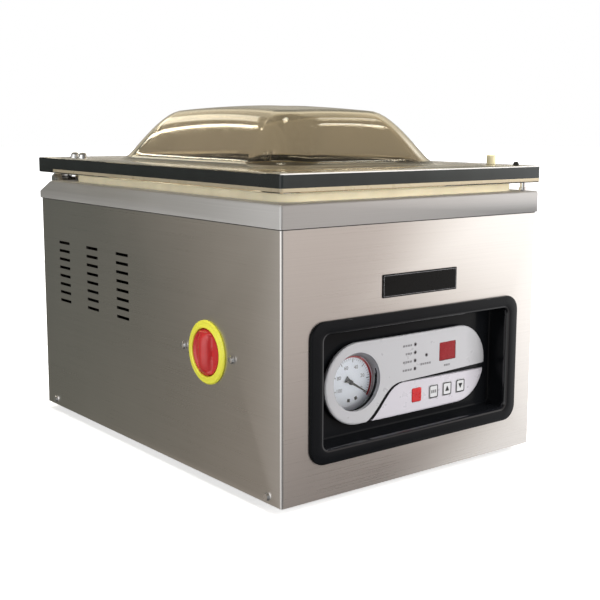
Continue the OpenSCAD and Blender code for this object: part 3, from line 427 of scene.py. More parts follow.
def build_lid():
    """The lid: a thick flat rim with a painted dark reflection band round its edge, and a thin blown dome."""
    hd, cy = (LID_BACK - LID_FRONT) / 2, (LID_FRONT + LID_BACK) / 2
    steps = [-8, -6.6, -5.2, -3.8, -2.5, -1.2, 0, 1.2, 2.4, 3.8, 5.6, 8, 11, 14.5, 18.5, 23, 28, 33.5, 39, 44.5,
             50, 55.5, 61, 66, 72, 80, 90, 102]

    def ring(d, shrink=0.0, drop=0.0):
        r = max(DOME_R - 0.62 * d, 14.0)
        outer = outline(DOME_A - d, DOME_B - d, r, DOME_Y)
        moved = outline(DOME_A - d - shrink, DOME_B - d - shrink, max(r - shrink, 3.0), DOME_Y)
        return [(u, v, LID_TOP + dome_z(d, x, y - DOME_Y) - drop) for (x, y), (u, v) in zip(outer, moved)]

    def inner(d):
        rise = smooth_step(min(1.0, (d + 0.4) / FLANK)) - smooth_step(min(1.0, max(0.0, d - 0.4) / FLANK))
        slope = DOME_H * 0.92 * rise / 0.8
        return ring(d, WALL * slope / math.hypot(1, slope), WALL / math.hypot(1, slope))

    def level(shrink, z):
        return [(x, y, z) for x, y in outline(DOME_A - shrink, DOME_B - shrink, DOME_R - shrink, DOME_Y)]

    def flat(inset, z):
        return [(x, y, z) for x, y in outline(LID_HALF_W - inset, hd - inset, max(0.4, 3.0 - inset), cy)]

    edge = ((1.2, LID_TOP), (0.35, LID_TOP - 0.35), (0, LID_TOP - 1.0), (0, LID_Z + 4.4), (0, LID_Z + 1.2),
            (0.35, LID_Z + 0.35), (1.2, LID_Z))
    mouth = ((2.0, 0), (3.4, 0.5), (4.0, 2.2), (4.6, 8), (5.6, 13))
    rings = [ring(d) for d in reversed(steps)] + [flat(inset, z) for inset, z in edge]
    rings += [level(shrink, LID_Z + up) for shrink, up in mouth] + [inner(d) for d in steps if d > 2]
    verts, faces = loft(rings)
    n = len(rings[0])
    dark = len(steps) + 2                # the painted dark reflection band between the top edge's round and the painted pale foot
    # kinds: 0 clear acrylic, 1 painted dark reflection, 2 painted view of the gasket, 3 painted highlight
    kinds = [k // n - dark + 1 if dark * n <= k < (dark + 2) * n else 0 for k in range(len(faces))]
    for k, face in enumerate(faces):
        y = sum(verts[i][1] for i in face) / len(face)
        if kinds[k] == 2 and y > 190:    # no gasket behind the foot there, so it gets the painted dark reflection, not the painted gasket view
            kinds[k] = 1
        if dark - 2 <= k // n < dark and y < LID_FRONT + 2:
            kinds[k] = 3                 # painted highlight on the front edge's round
    o = make("lid_shell", verts, faces, None, "lid_assembly", smooth=32,
             mats=["acrylic", "lid_edge", "lid_foot", "lid_glint"], face_mats=kinds)
    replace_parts(o, "lid")


build_lid()


# ------------------------------------------------------------------ flat pieces with holes

def circle_pts(cx, cz, r, n=72):
    return [(cx + r * math.cos(2 * math.pi * k / n), cz + r * math.sin(2 * math.pi * k / n)) for k in range(n)]


def dense(loop, step):
    out = []
    for (x0, z0), (x1, z1) in zip(loop, loop[1:] + loop[:1]):
        k = max(1, int(math.hypot(x1 - x0, z1 - z0) / step))
        out += [(x0 + (x1 - x0) * j / k, z0 + (z1 - z0) * j / k) for j in range(k)]
    return out


def inside(x, z, loops):
    hit = False
    for loop in loops:
        for (x0, z0), (x1, z1) in zip(loop, loop[1:] + loop[:1]):
            if (z0 > z) != (z1 > z) and x < x0 + (z - z0) / (z1 - z0) * (x1 - x0):
                hit = not hit
    return hit


def panel(name, loops, front, back, mat, body, rings=(), step=3.0, grid=6.0):
    """A panel in the XZ plane with holes. front(x, z) gives its front surface's y, back(x, z) its rear's, or None."""
    loops = [dense(l, step) for l in loops]
    pts, edges = [], []
    for l in loops:
        b = len(pts)
        pts += l
        edges += [(b + k, b + (k + 1) % len(l)) for k in range(len(l))]
    edge_n = len(pts)
    xs, zs = [p[0] for p in loops[0]], [p[1] for p in loops[0]]
    extra = [p for r in rings for p in dense(r, step)]
    x = min(xs) + grid / 2
    while grid and x < max(xs):
        z = min(zs) + grid / 2
        while z < max(zs):
            extra.append((x, z))
            z += grid
        x += grid

    def clear(p):
        return min((p[0] - q[0]) ** 2 + (p[1] - q[1]) ** 2 for q in pts[:edge_n]) > (0.3 * step) ** 2

    pts += [p for p in extra if inside(p[0], p[1], loops) and clear(p)]
    v2, _, tris, *_ = delaunay_2d_cdt([Vector(p) for p in pts], edges, [], 1, 1e-5)
    tris = [t for t in tris if inside(sum(v2[i][0] for i in t) / 3, sum(v2[i][1] for i in t) / 3, loops)]
    verts = [(v[0], front(v[0], v[1]), v[1]) for v in v2]
    faces = [tuple(t) for t in tris]
    if back is not None:
        count = {}
        for t in tris:
            for a, b in ((t[0], t[1]), (t[1], t[2]), (t[2], t[0])):
                count[frozenset((a, b))] = count.get(frozenset((a, b)), []) + [(a, b)]
        rim = [e[0] for e in count.values() if len(e) == 1]
        place_of = {}
        for a, b in rim:
            for q in (a, b):
                if q not in place_of:
                    place_of[q] = len(verts)
                    x, z = verts[q][0], verts[q][2]
                    verts.append((x, back(x, z), z))
        faces += [(b, a, place_of[a], place_of[b]) for a, b in rim]
    return make(name, verts, faces, mat, body, smooth=40)


def at_y(y):
    """A level surface for panel()."""
    return lambda x, z: y


# ------------------------------------------------------------------ control panel

TRAY_Y, FACE_Y = -218.0, -226.0
FACE_X, FACE_Z, FACE_W, FACE_H = 2.2, 105.0, 214.0, 78.6
FACE_HALF = (FACE_W - FACE_H) / 2    # half the straight part of its outline
HOLE = (-66.8, 106.6, 28.2)          # the fascia's round window
GX, GZ = -65.2, 103.8                # the gauge behind it
KEYS = {"start_key": 9.5, "set_key": 32.8, "up_key": 52.1, "down_key": 71.5}
KZ, KW, KH = 82.5, 12.6, 13.8
DISPLAY = (51.9, 121.4, 23.5, 18.8)
LEDS = [(6.7, 133.6), (6.7, 125.6), (6.7, 117.5), (6.7, 109.5), (22.1, 121.1)]


def build_bezel():
    bx, bz, tz = 2.0, 106.2, 106.7
    shapes = [(272, 132, 16, -238), (272, 132, 16, -239.7), (271.2, 131.2, 15.6, -240.7), (269.8, 129.8, 14.9, -241),
              (247, 110.5, 8.6, -241), (244.1, 107.6, 7.3, -240.6), (242.3, 105.8, 6.5, -239.2),
              (241.5, 105, 6, -236.5), (240.1, 103.6, 5.6, -221), (238.5, 102, 5.2, -218.6),
              (235.5, 99, 4.2, -218), (235.5, 99, 4.2, -216), (246.5, 110, 8.5, -216), (246.5, 110, 8.5, -237.8)]
    rings = [[(x, y, z) for x, z in rounded(w, h, r, 8, bx, bz if w > 250 else tz)] for w, h, r, y in shapes]
    verts, faces = looped(rings)
    inner_lip = [1 if k // len(rings[0]) in (4, 5, 6) else 0 for k in range(len(faces))]
    o = make("bezel_frame", verts, faces, None, "housing", smooth=32, mats=["bezel", "lip"],
             face_mats=inner_lip)
    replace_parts(o, "control_bezel")
    panel("bezel_tray", [rounded(235.9, 99.4, 4.3, 8, bx, tz), circle_pts(GX, GZ, HOLE[2])],
          at_y(TRAY_Y), at_y(TRAY_Y + 2.4), "bezel", "housing", grid=0, step=6)
    for x in (-89.5, 93.5):
        for z in (170.6, 50.3):
            v, f = loft([[(x + sx * 2.6 * k, y, z + sz * 0.8 * k) for sx, sz in ((-1, -1), (1, -1), (1, 1), (-1, 1))]
                         for k, y in ((1, -240.6), (1, -240.95), (0.8, -240.99))])
            bevel(make("bezel_clip_%d_%d" % (x + 100, z), v, f, "bezel_mark", "housing"), 0.1, 2)


def edge_distance(x, z):
    """How far (x, z) is inside the stadium outline of the fascia."""
    dx = max(0.0, abs(x - FACE_X) - FACE_HALF)
    return FACE_H / 2 - math.hypot(dx, z - FACE_Z)


def bow(x):
    """The fascia's shallow bow: its ends lie a little further back than its middle."""
    return 0.00018 * (x - 2) ** 2


def crowned(x, z):
    """The fascia's face: bowed, with a thin round along its border and a crescent that turns away at the right."""
    d, y = edge_distance(x, z), FACE_Y + bow(x)
    right = x - (FACE_X + FACE_HALF)
    cosine = max(0.0, right) / max(1e-6, math.hypot(right, z - FACE_Z))
    for w, drop in ((1.8, 0.9), (11.0 * cosine, 2.2 * cosine)):
        if w > 0.01 and d < w:
            y += drop * (1 - math.sqrt(max(0.0, 1 - (1 - max(0.0, d) / w) ** 2.2)))
    return y


def stadium(inset=0.0):
    """The outline of the whole fascia, moved in by inset."""
    r, n = FACE_H / 2 - inset, 40
    return [(FACE_X + s * FACE_HALF + r * math.cos(a), FACE_Z + r * math.sin(a))
            for s, k0 in ((1, -90), (-1, 90)) for a in (math.radians(k0 + 180 * i / n) for i in range(n + 1))]


def split_line(side):
    """The S shaped split, shifted across itself: the gap is wide in the curve and narrow on the level run."""
    n = 26
    p = [(-54, FACE_Z - FACE_H / 2 - 1), (-34.5, 76), (-30, 98.4), (-9, 98.4)]
    mid = []
    for i in range(n + 1):
        t = i / n
        c = [(1 - t) ** 3, 3 * t * (1 - t) ** 2, 3 * t * t * (1 - t), t ** 3]
        mid.append((sum(a * q[0] for a, q in zip(c, p)), sum(a * q[1] for a, q in zip(c, p))))
    mid.append((111, 98.4))
    pts = []
    for i, (x, z) in enumerate(mid):
        (xa, za), (xb, zb) = mid[max(0, i - 1)], mid[min(len(mid) - 1, i + 1)]
        ln = math.hypot(xb - xa, zb - za)
        g = side * (0.6 + 1.25 * min(1.0, max(0.0, (n - i) / (0.45 * n))) ** 0.8)
        pts.append((x - g * (zb - za) / ln, z + g * (xb - xa) / ln))
    return pts


def halves():
    """The stadium cut along the S shaped split: upper and lower outlines."""
    upper_cut, lower_cut = split_line(1), split_line(-1)
    edge = stadium()

    def over(x, z, cut):
        if x <= cut[0][0]:
            return True
        for (x0, z0), (x1, z1) in zip(cut, cut[1:]):
            if x0 <= x <= x1:
                return z > z0 + (z1 - z0) * (x - x0) / max(1e-6, x1 - x0)
        return z > cut[-1][1]

    up = [p for p in edge if over(p[0], p[1], upper_cut)]
    low = [p for p in edge if not over(p[0], p[1], lower_cut)]

    def ordered(points, cut):
        k = max(range(len(points)), key=lambda i: math.dist(points[i], points[i - 1]))
        chain = points[k:] + points[:k]
        seq = [p for p in cut if edge_distance(*p) > 0.05]
        if math.dist(chain[-1], seq[0]) > math.dist(chain[-1], seq[-1]):
            seq = seq[::-1]
        return chain + seq

    return ordered(up, upper_cut), ordered(low, lower_cut)


def build_fascias():
    up, low = halves()
    rings = [stadium(d) for d in (0.4, 0.9, 1.5, 2.2, 3.6, 5.4, 7.4, 9.4, 11.4)]
    dx, dz, dw, dh = DISPLAY
    holes = [circle_pts(*HOLE), rounded(dw, dh, 0.8, 3, dx, dz)]

    def back(x, z):
        return FACE_Y + bow(x) + 3.4

    o = panel("fascia_upper", [up] + holes, crowned, back, "fascia", "housing", rings, 2.0, 5.0)
    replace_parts(o, "control_fascia")
    key_holes = [rounded(KW + 0.5, KH + 0.5, 1.6, 4, x, KZ) for x in KEYS.values()]
    o = panel("fascia_lower", [low] + key_holes, lambda x, z: crowned(x, z) + 0.15, back, "fascia_low", "housing",
              rings, 2.0, 5.0)
    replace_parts(o, "lower_fascia")
    # the black moulding that carries both halves, and its rib that shows in the split
    loops = [stadium(0.7), circle_pts(*HOLE)] + [rounded(KW + 0.7, KH + 0.7, 1.7, 4, x, KZ) for x in KEYS.values()]
    panel("fascia_carrier", loops, lambda x, z: back(x, z) + 0.02, at_y(TRAY_Y - 0.02), "bezel", "housing",
          grid=0)
    above, below = ([p for p in split_line(side) if edge_distance(*p) > 0.5] for side in (0.985, -0.985))
    panel("fascia_rib", [above + below[::-1]], lambda x, z: crowned(x, z) + 0.55, back, "rib", "housing",
          grid=0, step=2)


def turned(name, profile, mat, body, n=72, cx=GX, cz=GZ):
    """A turned piece about an axis along Y: profile is (radius, y)."""
    verts, faces = [], []
    m = len(profile)
    for k in range(n):
        a = 2 * math.pi * k / n
        verts += [(cx + r * math.cos(a), y, cz + r * math.sin(a)) for r, y in profile]
        for j in range(m):
            b, c = k * m, (k + 1) % n * m
            faces.append((b + j, c + j, c + (j + 1) % m, b + (j + 1) % m))
    return make(name, verts, faces, mat, body)


def sector(r0, r1, a0, a1, y, n=None):
    """A printed arc on the dial, angles in degrees from +X towards +Z."""
    n, thick = n or max(1, int(abs(a1 - a0) / 3)), 0.08
    v, f = [], []
    for k in range(n + 1):
        a = math.radians(a0 + (a1 - a0) * k / n)
        for r in (r0, r1):
            x, z = GX + r * math.cos(a), GZ + r * math.sin(a)
            v += [(x, y, z), (x, y - thick, z)]
    for k in range(n):
        b, c = 4 * k, 4 * k + 4
        f += [(b + 1, b + 3, c + 3, c + 1), (b, b + 1, c + 1, c), (b + 2, c + 2, c + 3, b + 3)]
    return v, f


def join_parts(parts):
    v, f = [], []
    for pv, pf in parts:
        b = len(v)
        v += pv
        f += [tuple(i + b for i in q) for q in pf]
    return v, f


def digits(name, text, x, y, z, size, mat, body):
    """Plain numbers as a thin mesh that faces -Y."""
    c = bpy.data.curves.new(name, "FONT")
    c.body, c.size, c.align_x, c.align_y, c.extrude = text, size * MM, "CENTER", "CENTER", 0.00004
    t = new_object(name + "_c", c)
    t.rotation_euler = (math.pi / 2, 0, 0)
    t.location = (x * MM, y * MM, z * MM)
    bpy.context.view_layer.update()
    dg = bpy.context.evaluated_depsgraph_get()
    me = bpy.data.meshes.new_from_object(t.evaluated_get(dg))
    me.transform(t.matrix_world)
    bpy.data.objects.remove(t)
    me.materials.clear()
    me.materials.append(M[mat])
    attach(new_object(name, me), body)


def build_gauge():
    dial_y = FACE_Y + 13
    shell = [(27.9, -217.8), (27.9, dial_y + 14), (20, dial_y + 14), (20, dial_y + 2.2), (26.9, dial_y + 1.9),
             (26.9, dial_y - 1.2), (26.4, dial_y - 1.8), (26.4, dial_y - 3.4), (27.0, dial_y - 3.9), (27.0, -217.5),
             (27.2, -217.8)]
    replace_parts(turned("gauge_shell", shell, "case", "housing"), "gauge_case")
    # bright liner that closes the depth between the fascia and the gauge's case: y, share of the way, radius
    cx, cz, _ = HOLE
    n = 72
    steps = [(-223.0, 0.0, 28.15), (-221.6, 0.12, 27.8), (-221.4, 0.15, 28.1), (-219.6, 0.5, 27.9),
             (-219.4, 0.55, 27.5), (-217.7, 1.0, 27.15)]
    rings = [[(x, y, z) for x, z in circle_pts(cx + (GX - cx) * k, cz + (GZ - cz) * k, r, n)] for y, k, r in steps]
    v, f = loft(rings, False, False)
    make("gauge_liner", v, f, "liner", "housing", smooth=30)
    face = [(0.0, dial_y), (25.9, dial_y), (26.8, dial_y - 0.15), (26.8, dial_y + 1.0), (0.0, dial_y + 1.0)]
    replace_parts(turned("gauge_face", face, "dial", "housing"), "gauge_dial")
    lens = [(0.0, dial_y - 3.9), (18, dial_y - 3.7), (26.3, dial_y - 3.3), (26.3, dial_y - 2.6), (0.0, dial_y - 2.9)]
    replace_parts(turned("gauge_lens", lens, "glass", "housing"), "gauge_glass")
    print_dial(dial_y - 0.02)
    build_needle(dial_y)


def print_dial(y):
    """The scale: ticks, a coloured arc over a line, plain numbers and two stops."""
    zero, span, n, long_every = -34.0, 247.0, 38, 6

    def printed(name, parts, mat):
        v, f = join_parts(parts)
        make(name, v, f, mat, "housing", smooth=0)

    marks = []
    for k in range(n + 1):
        a = zero + span * k / n
        r, w = (19.4, 0.9) if k % long_every == 0 else (21.4, 0.5)
        marks.append(sector(r, 23.4, a - w, a + w, y, n=1))
    printed("dial_ticks", marks, "ink")
    printed("dial_arc_line", [sector(24.6, 25.7, 122, 232, y)], "ink_grey")
    printed("dial_arc_red", [sector(23.9, 26.3, -37, 122, y)], "ink_red")
    number_r = 15.4
    for k, t in enumerate(("0", "20", "40", "60", "80", "100")):
        a = math.radians(zero + span * (k + 0.12) / 5.3)
        digits("dial_number_%d" % k, t, GX + number_r * math.cos(a), y - 0.06, GZ + number_r * math.sin(a), 5.0,
               "ink_grey", "housing")
    for k, a in enumerate((-68, -98)):
        printed("dial_stop_%d" % k, [sector(15.8, 19.0, a - 5.5, a + 5.5, y)], "ink")


def build_needle(dial_y):
    """The needle: a tapered pointer with an arrow-shaped tail, on a turned hub."""
    a = math.radians(-31.5)
    ux, uz = math.cos(a), math.sin(a)
    shape = [(-8.0, -3.4), (-7.0, 0.0), (-8.0, 3.4), (-1.2, 1.2), (0, 1.3), (12, 0.8), (23.2, 0.3), (23.2, -0.3),
             (12, -0.8), (0, -1.3), (-1.2, -1.2)]
    front, thick = dial_y - 1.6, 0.5
    v = [(GX + u * ux - w * uz, y, GZ + u * uz + w * ux) for y in (front, front + thick) for u, w in shape]
    m = len(shape)
    top = [(0, 1, 10), (1, 3, 10), (1, 2, 3), (3, 4, 9, 10), (4, 5, 8, 9), (5, 6, 7, 8)]
    f = top + [tuple(i + m for i in q[::-1]) for q in top]
    f += [(i, (i + 1) % m, (i + 1) % m + m, i + m) for i in range(m)]
    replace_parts(make("needle_pointer", v, f, "ink", "needle", smooth=0), "gauge_needle")
    hub = [(0.0, dial_y - 2.2), (1.6, dial_y - 2.1), (2.2, dial_y - 1.7), (2.4, dial_y - 0.6), (0.0, dial_y - 0.5)]
    turned("needle_hub", hub, "ink", "needle", 36)


WORD_GAP = 0.55                      # between the blocks of a label


def label_bar(name, x, z, words):
    """A stand-in for printed words: a row of small blocks with no lettering."""
    half, n, v, f = 1.05, 3, [], []
    for w in words:
        b = len(v)
        for i in range(n + 1):
            px = x + w * i / n
            v += [(px, crowned(px, pz) - 0.04, pz) for pz in (z - half, z + half)]
        f += [(b + 2 * i, b + 2 * i + 2, b + 2 * i + 3, b + 2 * i + 1) for i in range(n)]
        x += w + WORD_GAP
    make(name, v, f, "ink_grey", "housing", smooth=0)


def build_keys():
    for node, x in KEYS.items():
        body = node.replace("_key", "_button")
        red = node == "start_key"
        y = crowned(x, KZ)
        rings = [[(px, y + dy, pz) for px, pz in rounded(KW - 2 * i, KH - 2 * i, max(1.5 - i, 0.4), 4, x, KZ)]
                 for i, dy in ((0.0, 2.5), (0.0, -0.05), (0.2, -0.38), (0.7, -0.5), (1.5, -0.46), (2.2, -0.44))]
        v, f = loft(rings)
        mat = "key_red" if red else "key_grey"
        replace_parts(make(node + "_cap", v, f, mat, body, smooth=50), node)
        if red:
            panel("start_mark", [circle_pts(x, KZ, 2.6, 32), circle_pts(x, KZ, 1.9, 32)], at_y(y - 0.5), None,
                  "ink_red", body, grid=0, step=1)
            continue
        ring = [rounded(KW - 0.7, KH - 0.7, 1.6, 4, x, KZ), rounded(KW - 2.9, KH - 2.9, 1.0, 4, x, KZ)]
        panel(node + "_outline", ring, at_y(y - 0.56), None, "ink", body, grid=0, step=1.5)
        y -= 0.52                        # the print stands this far in front of the fascia
        if node == "set_key":
            w, h = 2.0, 1.6
            corners = ((0, -h), (w, -h), (w, h), (0, h))
            v = [(x + dx + ex, y, KZ + ez) for dx in (-3.6, -1.1, 1.4) for ex, ez in corners]
            f = [(b, b + 1, b + 2, b + 3) for b in (0, 4, 8)]
            make("set_marks", v, f, "ink_grey", body, smooth=0)
        else:
            s = 1 if node == "up_key" else -1
            v = [(x - 2.9, y, KZ - 2.5 * s), (x + 2.9, y, KZ - 2.5 * s), (x, y, KZ + 2.9 * s)]
            make(node + "_arrow", v, [(0, 1, 2)], "ink", body, smooth=0)


def build_panel_details():
    dx, dz, dw, dh = DISPLAY
    dw, dh = dw - 0.3, dh - 0.3          # clearance in the fascia's opening
    rings = [[(px, FACE_Y + bow(px) + dy, pz) for px, pz in rounded(dw - 2 * i, dh - 2 * i, 0.7, 3, dx, dz)]
             for i, dy in ((0, 2.9), (0, 0.5), (0.35, 0.12), (1.2, 0.05))]
    v, f = loft(rings)
    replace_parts(make("display_lens", v, f, "display", "housing", smooth=50), "display_window")
    first = None
    for k, (x, z) in enumerate(LEDS):
        y = crowned(x, z)
        o = turned("led_%d" % k, [(0.0, y - 0.75), (0.7, y - 0.6), (1.25, y - 0.1), (1.3, y + 2), (0.0, y + 2)],
                   "lens", "housing", 24, x, z)
        turned("led_rim_%d" % k, [(1.35, y - 0.10), (2.0, y - 0.05), (2.0, y + 0.3), (1.35, y + 0.3)],
               "ink_grey", "housing", 24, x, z)
        first = first or o
    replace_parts(first, "indicator_lenses")
    rows = [((3.0, 1.9, 3.2, 2.4), 133.4), ((2.2, 3.0, 2.2), 125.2), ((2.8, 2.0, 2.6, 2.8), 117.2),
            ((2.2, 3.2, 2.4, 2.6), 109.2)]
    labels_end = LEDS[0][0] - 4.4
    for k, (words, z) in enumerate(rows):
        width = sum(words) + WORD_GAP * (len(words) - 1)
        label_bar("label_%d" % k, labels_end - width, z, words)
    label_bar("label_mode", 14.0, 112.6, (2.6, 2.2, 2.0, 2.8, 2.4))
    label_bar("label_time", 47.0, 107.0, (2.4, 2.8, 2.2))


build_bezel()
build_fascias()
build_gauge()
build_keys()
build_panel_details()


# ------------------------------------------------------------------ pieces that keep the CAD shape with rounded edges

def softened(node, width, segments=2, folds=None, fold_r=2.0, mat=None):
    """A copy of a CAD node with its edges rounded. folds(p, q) picks the edges that get the wide radius fold_r."""
    src = NODES[node]
    bm = bmesh.new()
    bm.from_mesh(src.data)
    bm.transform(src.matrix_world)
    bmesh.ops.remove_doubles(bm, verts=bm.verts, dist=3e-6)
    bmesh.ops.dissolve_limit(bm, angle_limit=math.radians(0.4), verts=bm.verts, edges=bm.edges)
    if folds:
        picked = [e for e in bm.edges if len(e.link_faces) == 2 and e.calc_face_angle(0) > math.radians(40)
                  and folds(*[v.co / MM for v in e.verts])]
        bmesh.ops.bevel(bm, geom=picked, offset=fold_r * MM, segments=5, profile=0.5, affect="EDGES",
                        clamp_overlap=True)
    me = bpy.data.meshes.new(node + "_soft")
    bm.to_mesh(me)
    bm.free()
    o = new_object(node + "_soft", me)
    me.materials.append(M[mat or SLOT[SLOT_OF[node]]])
    me.shade_smooth()
    me.set_sharp_from_angle(angle=math.radians(40))
    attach(o, body_of(src)[0])
    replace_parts(o, node)
    if width:
        bevel(o, width, segments)


def deck_fold(p, q):
    """The deck's outer top edges and its two upright front corners."""
    top = min(p.z, q.z) > 277.9 and all(abs(v.x) > 166 or v.y < -239 for v in (p, q))
    return top or (p.y + q.y < -478 and min(abs(p.x), abs(q.x)) > 166.5 and abs(p.z - q.z) > 10)


def wrap_fold(p, q):
    """The wrap's two upright front corners."""
    return max(p.y, q.y) < -237.9 and min(abs(p.x), abs(q.x)) > 164.9 and abs(p.z - q.z) > 20


softened("top_deck", 0, folds=deck_fold, fold_r=2.4)
softened("outer_wrap", 0, folds=wrap_fold, fold_r=2.6)
softened("chamber_gasket", 2.4, segments=4)
softened("switch_ring", 0.7, segments=3)


def build_knob():
    """The isolator's knob: a shallow dish with a broad rounded grip across it."""
    n, rim, side_x = 96, 22.5, -165
    cy, cz = -120.5, 130.3               # the isolator's axis
    disc, grip_h, grip_w, grip_l = 1.2, 7.6, 9.5, 20.2
    lip_r, lip_w, lip_h = 21.3, 2.3, 1.4

    def height(r, a):
        across, along = abs(r * math.sin(a)), abs(r * math.cos(a))
        grip = max(0.0, 1 - (across / grip_w) ** 2) ** 0.6 * max(0.0, 1 - (along / grip_l) ** 4) ** 0.5
        lip = max(0.0, 1 - (abs(r - lip_r) / lip_w) ** 2) * lip_h
        return disc + grip_h * grip + lip

    def ring(r, x):
        """x is the ring's depth, or None for the knob's face."""
        return [(side_x - height(r, a) if x is None else x, cy + r * math.sin(a), cz + r * math.cos(a))
                for a in (math.tau * k / n for k in range(n))]

    radii = (0.3, 2, 4, 6, 7.5, 8.5, 9.2, 10, 11, 12.5, 14, 15.5, 17, 18, 19, 19.6, 20.2, 20.8, 21.4, 22.0)
    rings = [ring(r, None) for r in radii] + [ring(rim, -164.0), ring(rim, -161.0), ring(4.0, -160.0)]
    v, f = loft(rings)
    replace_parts(make("knob_cap", v, f, "red", "isolator_knob", smooth=55), "switch_knob")


build_knob()
softened("rubber_feet", 0.8)
softened("lid_plug", 0.6, segments=3)
softened("seal_bar", 0.6)
softened("counter_bar", 0.6)
softened("filler_plates", 0.8)
softened("power_inlet", 0.3)
softened("lid_switch", 0.2, mat="pin")
for side in ("left", "right"):
    softened("hinge_leaf_" + side, 0.4)
    softened("hinge_base_" + side, 0.4)


def build_plate():
    (x0, front, z0), (x1, rear, z1) = ([c / MM for c in corner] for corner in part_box("name_plate"))
    w, h, cx, cz = x1 - x0, z1 - z0, (x0 + x1) / 2, (z0 + z1) / 2
    rings = [[(px, y, pz) for px, pz in rounded(w - 2 * i, h - 2 * i, 0.8, 3, cx, cz)]
             for i, y in ((0, rear), (0, front + 0.25), (0.25, front))]
    v, f = loft(rings)
    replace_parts(make("plate_body", v, f, "plate", "housing"), "name_plate")
    border = [rounded(w - 2.2, h - 2.2, 0.6, 3, cx, cz), rounded(w - 3.0, h - 3.0, 0.4, 3, cx, cz)]
    o = panel("plate_border", border, at_y(front), None, "ink_grey", "housing", grid=0, step=8)
    o.location.y -= 0.00001


def build_seam_and_shadow():
    """The dark strip under the deck's skirt: partly its joint, partly painted shadow of the skirt."""
    low, high = 255.5, 256.4
    rings = [[(x, y, z) for x, y in outline(165 + out, 238 + out, 2.6 + out, 0.0, 6, 2)]
             for out, z in ((-0.3, low), (0.35, low), (0.35, high), (-0.3, high))]
    v, f = looped(rings)
    make("deck_seam", v, f, "seam", "housing")


build_plate()
build_seam_and_shadow()
# a black sheet behind the rear vents, painted shade that stands in for the shaded inside of the machine, so that no
# daylight shows through the machine
panel("rear_vent_screen", [rounded(172, 82, 3, 4, 0, 173)], at_y(237.2), at_y(237.8), "black", "housing",
      grid=0, step=20)


# ------------------------------------------------------------------ studio

def card(name, verts, faces, strength, color=(1, 1, 1), paint=None):
    """A light card: the machine sees it, the camera does not."""
    me = bpy.data.meshes.new(name)
    me.from_pydata(verts, [], faces)
    o = new_object(name, me)
    m, t, e = new_material(name, "ShaderNodeEmission")
    e.inputs["Strength"].default_value = strength
    e.inputs["Color"].default_value = (*color, 1)
    if paint:
        t.link(paint(t), e.inputs["Color"])
    me.materials.append(m)
    o.visible_camera = o.visible_shadow = o.visible_volume_scatter = False


def deg(a):
    """A ramp position from degrees off -Y, towards +X."""
    return (a + 180) / 360


def wall(radius, a0, a1, z0, z1, n=96):
    """Part of an upright cylinder, angles in degrees from -Y towards +X."""
    verts = []
    for k in range(n + 1):
        a = math.radians(a0 + (a1 - a0) * k / n)
        verts += [(radius * math.sin(a), -radius * math.cos(a), z) for z in (z0, z1)]
    return verts, [(2 * k, 2 * k + 2, 2 * k + 3, 2 * k + 1) for k in range(n)]


ROOM_R, ROOM_LOW, ROOM_HIGH = 1.6, -1.2, 2.4
LAMP_COLOR = (1.0, 0.93, 0.76)
# the room's light by direction, in degrees off -Y, and for the back wall by height
HIGH_WALL = [(-180, (0.055, 0.058, 0.05)), (-154, (0.065, 0.068, 0.061)), (-146, (0.080, 0.080, 0.070)),
             (-141, (0.10, 0.095, 0.083)), (-136, (0.15, 0.138, 0.12)), (-124, (0.18, 0.167, 0.145)), (-104, 0.75),
             (-70, 0.85), (-50, 0.45), (-38, 0.12), (-2, 0.12), (12, (0.46, 0.42, 0.395)), (36, (0.375, 0.33, 0.31)),
             (42, (0.66, 0.625, 0.59)), (47, (0.86, 0.84, 0.825)), (100, 0.85), (118, 0.3),
             (180, (0.055, 0.058, 0.05))]
LOW_WALL = [(-180, (0.085, 0.083, 0.07)), (-150, (0.088, 0.086, 0.072)), (-145, (0.092, 0.088, 0.075)),
            (-141, (0.12, 0.107, 0.09)), (-136, (0.165, 0.143, 0.122)), (-124, (0.18, 0.16, 0.14)), (-90, 0.30),
            (0, 0.06), (19, (0.09, 0.08, 0.075)), (37, (0.032, 0.028, 0.026)), (43, (0.22, 0.21, 0.20)), (50, 0.42),
            (100, 0.4), (180, (0.085, 0.083, 0.07))]
BACK_WALL = [(0.08, (0.165, 0.155, 0.138)), (0.2, (0.22, 0.205, 0.175)), (0.34, (0.36, 0.333, 0.265)),
             (0.5, (0.40, 0.365, 0.285))]
BACK_MASK = [(-176, 0.0), (92, 0.0), (112, 1.0), (174, 1.0), (178, 0.0)]


